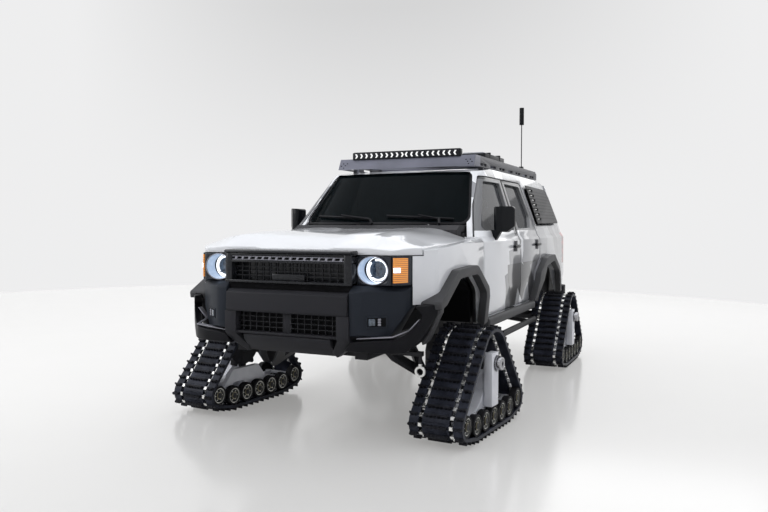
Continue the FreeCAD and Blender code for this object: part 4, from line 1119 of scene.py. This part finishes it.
bumper_parts = [
    across_car(
        "bumper_bar",
        [
            (-2.300, 1.006), (-2.418, 1.008), (-2.450, 0.986), (bar_y, 0.870), (bar_y + 0.008, 0.858),
            (-2.300, 0.858)
        ],
        bar_half
    ),
    across_car(
        "lower_sill", [(-2.300, 0.728), (bar_y + 0.014, 0.728), (bar_y + 0.016, 0.712), (-2.300, 0.700)],
        0.395
    ),
    across_car(
        "skid",
        [(-2.300, 0.708), (bar_y + 0.020, 0.708), (-2.425, 0.668), (-2.345, 0.588), (-2.250, 0.580)], 0.330
    ),
    block("centre_post", (-0.028, bar_y + 0.040, 0.715), (0.028, -2.38, 0.862), 0.004)
]
for side in (-1, 1):
    post = extruded(
        "bumper_post",
        [
            (post_in, 0.860), (0.470, 0.860), (0.470, 0.694), (0.424, 0.640), (0.340, 0.580),
            (0.318, 0.620), (post_in, 0.700)
        ],
        lambda x, z: (side * x, -2.30, z), (0, -0.150, 0), 0.0
    )
    trimmed(post, (0, -2.440, 0.705), (0, -0.83, -0.55))
    eased(post, 0.005, 2)
    bumper_parts.append(post)
on_body(coloured(joined("front_bumper_centre", bumper_parts), bumper_grey), "front_bumper")

lower_mesh = [
    lattice(
        "lower_mesh", spread(side * 0.030, side * 0.390, 8), spread(0.760, 0.826, 3), -2.415,
        (min(0, side * 0.392), 0.722), (max(0, side * 0.392), 0.860), 0.004
    )
    for side in (-1, 1)
]
on_body(coloured(joined("lower_grille", lower_mesh), gloss_black))
# Deep black blocks behind the lower mesh and in the gap above the bar: painted shade in the openings.
shade_blocks = [
    block("lower_shade", (-0.44, -2.385, 0.66), (0.44, -2.30, 0.90)),
    block("upper_shade", (-0.47, -2.40, 0.98), (0.47, -2.30, 1.06))
]
on_body(coloured(joined("intake_shade", shade_blocks), deep_black))

# Corner box: a swept plan carried up, its top front edge and its lower outer corner cut off.
corner = level_plate(
    "bumper_corner",
    [
        (0.464, -2.436), (0.517, -2.436), (0.556, -2.424), (0.772, -2.272), (0.790, -2.246),
        (0.812, -2.160), (0.464, -2.160)
    ],
    0.735, 0.317
)
trimmed(corner, (0.517, -2.436, 1.012), (0, -0.62, 0.785))
trimmed(corner, (0.556, -2.424, 1.018), (0.36, -0.50, 0.785))
trimmed(corner, (0.790, -2.246, 0.893), (0.86, 0, -0.51))
trimmed(corner, (0.60, -2.40, 0.742), (0.1, -0.35, -0.93))
eased(corner, 0.005, 3)
fog_turn = Matrix.Translation((0.628, -2.373, 0.829)) @ Matrix.Rotation(math.radians(35.1), 4, "Z")
fog_parts = [
    coloured(block("fog_frame", (-0.066, -0.006, -0.035), (0.066, 0.02, 0.035), 0.004), corner_grey),
    coloured(block("fog_hole", (-0.059, -0.008, -0.028), (0.059, 0.0, 0.028), 0.003), deep_black),
    coloured(block("fog_lens", (-0.052, -0.012, -0.022), (-0.010, -0.004, 0.022), 0.006), lens_dark)
]
fog_parts += [
    coloured(block("fog_led", (0.006, -0.013, z - 0.007), (0.026, -0.005, z + 0.007), 0.003), satin_silver)
    for z in (-0.016, 0.0, 0.016)
]
fog_lamp = joined("fog_lamp", fog_parts)
fog_lamp.data.transform(fog_turn)
on_body(both_sides(joined("bumper_corners", [coloured(corner, corner_grey), fog_lamp])))

lip_black = Finish("lip_black", (0.008, 0.008, 0.010), (300, 0.2, 0.3))
lip = combined(
    upright_plate(
        "bumper_lip",
        [
            (0.430, 0.640), (0.478, 0.702), (0.748, 0.728), (0.800, 0.752), (0.868, 0.826), (0.884, 0.872),
            (0.846, 0.929), (0.960, 0.929), (0.955, 0.880), (0.885, 0.735), (0.868, 0.700), (0.800, 0.640)
        ],
        -2.05, -0.45
    ),
    level_plate(
        "lip_plan",
        [
            (0.430, -2.436), (0.640, -2.424), (0.740, -2.392), (0.815, -2.325), (0.890, -2.245),
            (0.958, -2.145), (0.956, -2.092), (0.925, -2.092), (0.860, -2.200), (0.780, -2.300),
            (0.430, -2.330)
        ],
        0.55, 0.45
    ),
    "INTERSECT"
)
eased(lip, 0.007, 3)
slot_rim = extruded(
    "slot_rim",
    [
        (0.500, 0.716), (0.745, 0.741), (0.792, 0.764), (0.862, 0.838), (0.856, 0.842), (0.788, 0.772),
        (0.744, 0.748), (0.500, 0.723)
    ],
    lambda x, z: (x, -2.240 if x > 0.78 else -2.400, z), (0, 0.04, 0), 0.001, 1
)
on_body(both_sides(joined("bumper_lips", [coloured(lip, lip_black), coloured(slot_rim, satin_silver)])))

# ------------------------------------------------------------------ arches and sills
# Satin grey plastic clipped to the body: a flare round each wheel arch, whose front leg runs down the end
# of the bumper's lip, and a bulged strip on the sill. Tubular steps hang on brackets below.

flare_grey = Finish("flare_grey", (0.070, 0.070, 0.073), 0.45)
flare_grey.grained(380, 2, 0.2, 0.36, 0.06, 0.0007)
step_black = Finish("step_black", (0.035, 0.035, 0.038), (200, 0.25, 0.34))


def painted(finish, *nodes):
    """CAD pieces whose shape is right: each takes the finish in its own slots."""
    for node in nodes:
        for slot in frame["nodes"][node].material_slots:
            slot.material = finish.made


folded("arch_flares", flare_grey, 0.012, 4)
folded("side_cladding", flare_grey, 0.022, 4)
folded("side_steps", step_black, 0.008, 3)
painted(deep_black, "arch_liners")
flare_leg = upright_plate(
    "flare_leg",
    [
        (0.898, 0.925), (0.972, 0.925), (0.968, 0.880), (0.898, 0.728), (0.875, 0.684), (0.845, 0.664),
        (0.838, 0.700), (0.862, 0.740), (0.890, 0.830)
    ],
    -2.082, -0.072, 0.008, 3
)
on_body(both_sides(coloured(flare_leg, flare_grey)))

# ------------------------------------------------------------------ glass
# A dark windscreen and a tinted rear window, bonded in with a printed black border, and grey-tinted side
# windows. Two wipers rest along the foot of the windscreen.

seal_black = Finish("seal_black", (0.010, 0.010, 0.012), (60, 0.2, 0.28))


def tinted(name, color, see_through):
    """Tinted glass: a dark surface that lets a little of the cabin show."""
    glass = Finish(name, color, 0.04)
    glass.set("IOR", 1.16)
    streak = glass.noise(1.6, 2)
    glass.set("Roughness", streak * 0.05 + 0.02)
    glass.set(
        "Base Color",
        glass.ramp(streak, 0.30, tuple(v * 0.85 for v in color), 0.70, tuple(v * 1.15 for v in color))
    )
    glass.set("Alpha", 1.0 - see_through)
    return glass


screen_glass = tinted("screen_glass", (0.003, 0.005, 0.006), 0.06)
side_glass = tinted("side_glass", (0.060, 0.062, 0.066), 0.08)


def glazed(node, glass, directions, border):
    """A pane whose outer band is printed black."""
    pane = folded(node, seal_black, 0.0)
    pane.data.materials.append(glass.made)
    for direction in directions:
        nothing_selected()
        bpy.context.view_layer.objects.active = pane
        facing = [face.normal.dot(Vector(direction)) > 0.5 for face in pane.data.polygons]
        for face, chosen in zip(pane.data.polygons, facing):
            face.select = chosen
        for edge in pane.data.edges:
            edge.select = False
        bpy.ops.object.mode_set(mode="EDIT")
        bpy.ops.mesh.select_mode(type="FACE")
        bpy.ops.mesh.inset(thickness=border, depth=0.0, use_even_offset=True)
        pane.active_material_index = 1
        bpy.ops.object.material_slot_assign()
        bpy.ops.object.mode_set(mode="OBJECT")
    return pane


glazed("windscreen", screen_glass, [(0, -0.75, 0.66), (0, 0.75, -0.66)], 0.026)
for node in (
    "front_glass_left", "front_glass_right", "rear_glass_left", "rear_glass_right", "quarter_glass"
):
    folded(node, side_glass, 0.0)
glazed("tailgate_glass", side_glass, [(0, 1, 0), (0, -1, 0)], 0.024)


def skin(node, x, y, z, direction):
    """Where a straight line from a place first meets a CAD piece."""
    mesh = frame["nodes"][node].data
    faces = BVHTree.FromPolygons(
        [corner.co for corner in mesh.vertices], [face.vertices for face in mesh.polygons]
    )
    return faces.ray_cast(Vector((x, y, z)), Vector(direction))[0]


def on_screen(x, z, lift):
    """A point at a small height above the windscreen."""
    place = skin("windscreen", x, -3.0, z, (0, 1, 0))
    return (place.x, place.y - lift * 0.75, place.z + lift * 0.66)


wiper_parts = []
for pivot_x, start, end in ((-0.02, (-0.08, 1.478), (-0.60, 1.500)), (0.56, (0.63, 1.474), (0.08, 1.500))):
    path = [
        on_screen(start[0] + (end[0] - start[0]) * i / 5, start[1] + (end[1] - start[1]) * i / 5, 0.016)
        for i in range(6)
    ]
    wiper_parts += [tube("wiper_blade", a, b, 0.009, 8) for a, b in zip(path, path[1:])]
    elbow = on_screen((start[0] + end[0]) / 2, 1.496, 0.032)
    wiper_parts += [
        tube("wiper_arm", (pivot_x, -1.085, 1.446), on_screen(pivot_x - 0.03, 1.462, 0.034), 0.011, 10),
        tube("wiper_arm", on_screen(pivot_x - 0.03, 1.462, 0.034), elbow, 0.008, 10)
    ]
on_body(coloured(joined("wipers", wiper_parts), seal_black))

# ------------------------------------------------------------------ door furniture
# Black plastic: box-shaped mirrors on a foot with a bright glass, and a grip over a grey pad on each door.
# Each piece is screwed to its own door.

trim_black = Finish("trim_black", (0.006, 0.007, 0.009), (50, 0.18, 0.25), coat=0.1)
pad_grey = Finish("pad_grey", (0.07, 0.07, 0.078), (150, 0.2, 0.4))
mirror_glass = Finish("mirror_glass", (0.72, 0.75, 0.78), (6, 0.05, 0.02), metallic=1.0)

# Each part of a grip: its reach out from the door's skin, along the car and up, its easing and finish.
grip_parts = [
    ("grip", (0.006, 0.026), (-0.085, 0.085), (1.238, 1.264), 0.008, 3, trim_black),
    ("grip_pad", (-0.02, 0.003), (-0.050, 0.050), (1.205, 1.300), 0.004, 2, pad_grey),
    ("grip_root", (-0.02, 0.012), (-0.085, -0.066), (1.240, 1.262), 0.003, 2, trim_black),
    ("grip_root", (-0.02, 0.012), (0.064, 0.085), (1.240, 1.262), 0.003, 2, trim_black)
]

for side, sign in (("left", 1), ("right", -1)):
    folded("mirror_" + side, trim_black, 0.016, 4)
    body = "front_" + side + "_door"
    glass = extruded(
        "mirror_face_" + side, [(0.925, 1.395), (1.038, 1.395), (1.038, 1.568), (0.925, 1.568)],
        lambda x, z: (sign * x, -0.6225, z), (0, 0.003, 0), 0.001, 1
    )
    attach(coloured(glass, mirror_glass), body)
    for node, door, grip_y in (
        ("front_door_", body, -0.130), ("rear_door_", "rear_" + side + "_door", 0.690)
    ):
        surface = abs(skin(node + side, sign * 2, grip_y, 1.245, (-sign, 0, 0)).x)
        parts = []
        for name, out, along, up, ease, segments, finish in grip_parts:
            part = block(
                name, (surface + out[0], grip_y + along[0], up[0]),
                (surface + out[1], grip_y + along[1], up[1]), ease, segments
            )
            parts.append(coloured(part, finish))
        grip = joined(node + side + "_grip", parts)
        if sign < 0:
            grip.data.transform(other_side)
            grip.data.flip_normals()
        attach(grip, door)

# ------------------------------------------------------------------ roof load
# A slate grey steel rack bolted to the roof, with a drilled fairing and, in front, a black light bar with a
# row of arrow-shaped LEDs. Two flat cases are strapped down on it, and a whip aerial stands at the rear.

slate = Finish("slate_steel", (0.16, 0.165, 0.205), 0.45, metallic=0.2)
slate.set("Roughness", slate.noise(120, 4) * 0.22 + 0.34)
slate_x, slate_y = slate.axes()[:2]
rails = (slate_x.math("ABSOLUTE") > 0.60) * (slate_y > -0.30)
sheet = slate.ramp(slate.noise(5), 0.3, (0.140, 0.145, 0.182), 0.7, (0.178, 0.182, 0.228))
slate.set("Base Color", slate.mix(rails, sheet, (0.070, 0.071, 0.080)))
bar_black = Finish("bar_black", (0.020, 0.021, 0.024), (80, 0.2, 0.3), metallic=0.3)
led_white = Finish("led_white", (0.85, 0.85, 0.83), 0.2)
led_white.mottled(25, (0.55, 0.55, 0.54), (0.80, 0.80, 0.78), socket="Emission Color")
led_white.set("Emission Strength", 0.55)
case_pale = Finish("case_pale", (0.34, 0.35, 0.38), (60, 0.2, 0.3))

folded("roof_rack", slate, 0.004, 2)
rack_low, rack_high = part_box("roof_rack")
# The fairing's drilled holes are near-black discs: painted shade in the holes.
holes = []
for side in (-1, 1):
    for x, z in ((0.600, 0.030), (0.588, 0.052), (0.571, 0.070), (0.610, 0.070), (0.628, 0.048)):
        spot = skin("roof_rack", side * x, -2.0, rack_low[2] + z, (0, 1, 0))
        if spot:
            holes.append(
                tube(
                    "fairing_hole", (spot.x, spot.y - 0.0015, spot.z), (spot.x, spot.y + 0.004, spot.z),
                    0.006, 12
                )
            )
if holes:
    on_body(coloured(joined("fairing_holes", holes), deep_black))

bar_low, bar_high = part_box("light_bar")
lamp_case = block("light_case", tuple(bar_low), tuple(bar_high), 0.006, 3)
lamp_face = block(
    "light_face", (bar_low[0] + 0.012, bar_low[1] - 0.003, bar_low[2] + 0.009),
    (bar_high[0] - 0.012, bar_low[1] + 0.002, bar_high[2] - 0.009), 0.002
)
fins = [
    block(
        "fin", (bar_low[0] + 0.01, y, bar_high[2] - 0.002),
        (bar_high[0] - 0.01, y + 0.003, bar_high[2] + 0.004)
    )
    for y in spread(bar_low[1] + 0.014, bar_high[1] - 0.010, 4)
]
arrows = []
for x in spread(bar_low[0] + 0.040, bar_high[0] - 0.040, 20):
    middle = (bar_low[2] + bar_high[2]) / 2
    lean = -0.012 if x > 0 else 0.012
    arrows.append(
        upright_plate(
            "arrow",
            [
                (x - 0.012, middle - 0.020), (x + 0.004, middle - 0.020), (x + 0.004 + lean, middle),
                (x + 0.004, middle + 0.020), (x - 0.012, middle + 0.020), (x - 0.012 + lean, middle)
            ],
            bar_low[1] - 0.002, -0.004, 0.0015, 1
        )
    )
on_body(
    joined(
        "light_bar_shown",
        [
            coloured(joined("light_case", [lamp_case, lamp_face] + fins), bar_black),
            coloured(joined("arrows", arrows), led_white)
        ]
    ),
    "light_bar"
)

rack_top = rack_high[2]
cases = []
for x, y, wide, long, high in ((0.10, 0.10, 0.40, 0.44, 0.060), (0.42, 0.50, 0.26, 0.66, 0.085)):
    left, right, lid = x - wide / 2, x + wide / 2, rack_top + high
    ahead, behind = y - long / 2, y + long / 2
    foot = block("case_foot", (left, ahead, rack_top - 0.012), (right, behind, lid - 0.012), 0.008, 3)
    top = block(
        "case_lid", (left + 0.03, ahead + 0.03, rack_top), (right - 0.03, behind - 0.03, lid), 0.006
    )
    cases += [coloured(foot, bar_black), coloured(top, case_pale)]
    for y_strap in (y - long * 0.25, y + long * 0.25):
        strap = block(
            "strap", (left - 0.003, y_strap - 0.015, rack_top - 0.014),
            (right + 0.003, y_strap + 0.015, lid + 0.003), 0.002
        )
        cases.append(coloured(strap, step_black))
on_body(joined("roof_cases", cases))
folded("antenna", trim_black, 0.002, 2)

# ------------------------------------------------------------------ window panels
# Sheet steel over the rear side windows: a grey field drilled in close rows, and at its front a black
# ladder with bright bars. Both are bolted to the body at their corners.

panel_grey = Finish("panel_grey", (0.07, 0.07, 0.072), 0.45, metallic=0.3)
panel_y, panel_z = panel_grey.axes()[1:]
slot_step, row_step = 0.052, 0.034
row = (panel_z * (1 / row_step)).math("FLOOR")
along = (panel_y * (1 / slot_step) + row * 0.5).math("FRACT") - 0.5
up = (panel_z * (1 / row_step)).math("FRACT") - 0.5
# The drilled slots are painted near-black: painted shade in the holes.
slot_shade_mask = (along.math("ABSOLUTE") < 0.30) * (up.math("ABSOLUTE") < 0.24)
inside = ((panel_y > 1.150) * (panel_y < 2.05)) * ((panel_z > 1.49) * (panel_z < 1.80))
plate = panel_grey.mix(panel_y < 1.125, (0.055, 0.055, 0.057), (0.012, 0.012, 0.013))
panel_grey.set("Base Color", panel_grey.mix(slot_shade_mask * inside, plate, (0.005, 0.005, 0.006)))
panel_grey.set("Roughness", panel_grey.noise(110) * 0.2 + 0.36)
folded("window_panels", panel_grey, 0.002, 1)
ladder = []
for z in spread(1.500, 1.790, 7):
    spot = skin("window_panels", 2.0, 0.980, z, (-1, 0, 0))
    for near, far in ((0.872, 0.930), (0.948, 1.030), (1.048, 1.105)):
        # Each ladder slot is a near-black block: painted shade in the slot.
        slot = block(
            "ladder_slot", (spot.x - 0.004, near, z - 0.015), (spot.x + 0.002, far, z + 0.015), 0.003, 1
        )
        ladder.append(coloured(slot, deep_black))
    bar = block(
        "ladder_bar", (spot.x - 0.002, 0.946, z - 0.003), (spot.x + 0.004, 1.020, z + 0.004), 0.001, 1
    )
    ladder.append(coloured(bar, clip_steel))
on_body(both_sides(joined("panel_ladder", ladder)))

# ------------------------------------------------------------------ cabin
# A charcoal plastic dashboard and floor, and five seats in grey cloth over foam: each cushion and back is a
# crowned, closed form with seams, on a plinth that is bolted to the floor.

cloth = Finish("seat_cloth", (0.11, 0.112, 0.118), 0.85)
cloth.mottled(60, (0.085, 0.087, 0.092), (0.14, 0.143, 0.15), 0.35, 0.70, 4)
cloth.grained(520, 2, 0.12, 0.80, 0.25, 0.0012)
cabin_grey = Finish("cabin_grey", (0.05, 0.05, 0.053), 0.6)
cabin_grey.grained(300, 2, 0.2, 0.5, 0.1, 0.0008)
folded("dashboard", cabin_grey, 0.006, 2)
painted(cabin_grey, "floor_pan", "cowl")


def crowned(name, low, high):
    """A stuffed form: a box whose faces swell and whose corners draw in."""
    piece = block(name, low, high)
    edit_all(piece)
    bpy.ops.mesh.subdivide(number_cuts=7)
    bpy.ops.mesh.vertices_smooth(factor=0.5, repeat=5)
    bpy.ops.object.mode_set(mode="OBJECT")
    bpy.ops.object.shade_smooth()
    return coloured(piece, cloth)


def stitched(name, left, right, low, high):
    """A cushion of two bolsters and two channels side by side, sewn where they meet."""
    edges = [left, left + 0.085, (left + right) / 2, right - 0.085, right]
    strips = []
    for i, (near, far) in enumerate(zip(edges, edges[1:])):
        rise = 0.012 if i in (0, 3) else 0.0
        strips.append(crowned(name, (near - 0.006, low[0], low[1]), (far + 0.006, high[0], high[1] + rise)))
    return joined(name, strips)


for name, front_y, places in (
    ("driver_seat", -0.520, [(0.125, 0.635)]), ("front_seat", -0.520, [(-0.635, -0.125)]),
    ("rear_bench", 0.380, [(-0.635, -0.215), (-0.21, 0.21), (0.215, 0.635)])
):
    outer_left, outer_right = places[0][0], places[-1][1]
    plinth = block(
        name + "_plinth", (outer_left + 0.02, front_y + 0.08, 0.752),
        (outer_right - 0.02, front_y + 0.48, 0.865), 0.008
    )
    on_body(coloured(plinth, cabin_grey), *(["seats"] if name == "driver_seat" else []))
    hinge = Matrix.Translation((0, front_y + 0.44, 0.90))
    lean = hinge @ Matrix.Rotation(math.radians(-11), 4, "X") @ hinge.inverted()
    for i, (left, right) in enumerate(places):
        cushion = stitched(f"{name}_cushion_{i}", left, right, (front_y, 0.855), (front_y + 0.47, 0.965))
        back = stitched(
            f"{name}_back_{i}", left + 0.01, right - 0.01, (front_y + 0.435, 0.93), (front_y + 0.545, 1.46)
        )
        middle = (left + right) / 2
        rest = crowned(
            f"{name}_rest_{i}", (middle - 0.13, front_y + 0.445, 1.485),
            (middle + 0.13, front_y + 0.535, 1.66)
        )
        posts = [
            tube(
                "rest_post", (middle + x, front_y + 0.49, 1.43), (middle + x, front_y + 0.49, 1.51), 0.006,
                12
            )
            for x in (-0.06, 0.06)
        ]
        stem = coloured(joined(f"{name}_posts_{i}", posts), clip_steel)
        for piece in (back, rest, stem):
            piece.data.transform(lean)
        for piece, fill in ((cushion, 0.85), (back, 0.8), (rest, 0.9)):
            on_body(piece)
        on_body(stem)

# ------------------------------------------------------------------ chassis and axles
# Painted steel: a ladder frame in black, cast axle and knuckles in dark grey, plain arms, and a bright
# plated towing ring on a bracket. The engine is one block in cast grey.

cast_grey = Finish("cast_grey", (0.07, 0.07, 0.074), 0.55, metallic=0.4)
cast_grey.grained(70, 5, 0.3, 0.38, 0.15, 0.0015)
painted(step_black, "chassis_frame", "suspension_arms")
painted(cast_grey, "engine_block", "rear_axle", "knuckle_left", "knuckle_right")
tow_steel = Finish("tow_steel", (0.75, 0.75, 0.73), 0.3, metallic=0.8)
tow_z = tow_steel.axes()[2]
tow_steel.set("Base Color", tow_steel.mix(tow_z > 0.545, (0.75, 0.75, 0.73), (0.02, 0.02, 0.022)))
folded("tow_eye", tow_steel, 0.002, 2)

# ------------------------------------------------------------------ rear end
# Smoked red tail lamps with light bands, let into the corners, a dark grained bumper bolted below the
# tailgate, and a black handle bar on it.

lamp_red = Finish("lamp_red", (0.40, 0.012, 0.014), 0.12, coat=1.0)
red_z = lamp_red.axes()[2]
lamp_band = (red_z * 62.0).math("SINE") * 0.5 + 0.5
lamp_red.set("Base Color", lamp_red.mix(lamp_band, (0.16, 0.006, 0.008), (0.55, 0.02, 0.02)))
folded("tail_lamps", lamp_red, 0.004, 2)
folded("rear_bumper", bumper_grey, 0.010, 3)

rear_y = skin("tailgate", 0, 4.0, 1.10, (0, -1, 0)).y
pull = block("tailgate_pull", (-0.340, rear_y - 0.010, 1.160), (0.340, rear_y + 0.022, 1.205), 0.010, 3)
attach(coloured(pull, trim_black), "tailgate_lid")
reflectors = [
    block("reflector", (side * 0.70 - 0.07, 2.452, 0.655), (side * 0.70 + 0.07, 2.466, 0.680), 0.003)
    for side in (-1, 1)
]
on_body(coloured(joined("rear_reflectors", reflectors), lamp_red))
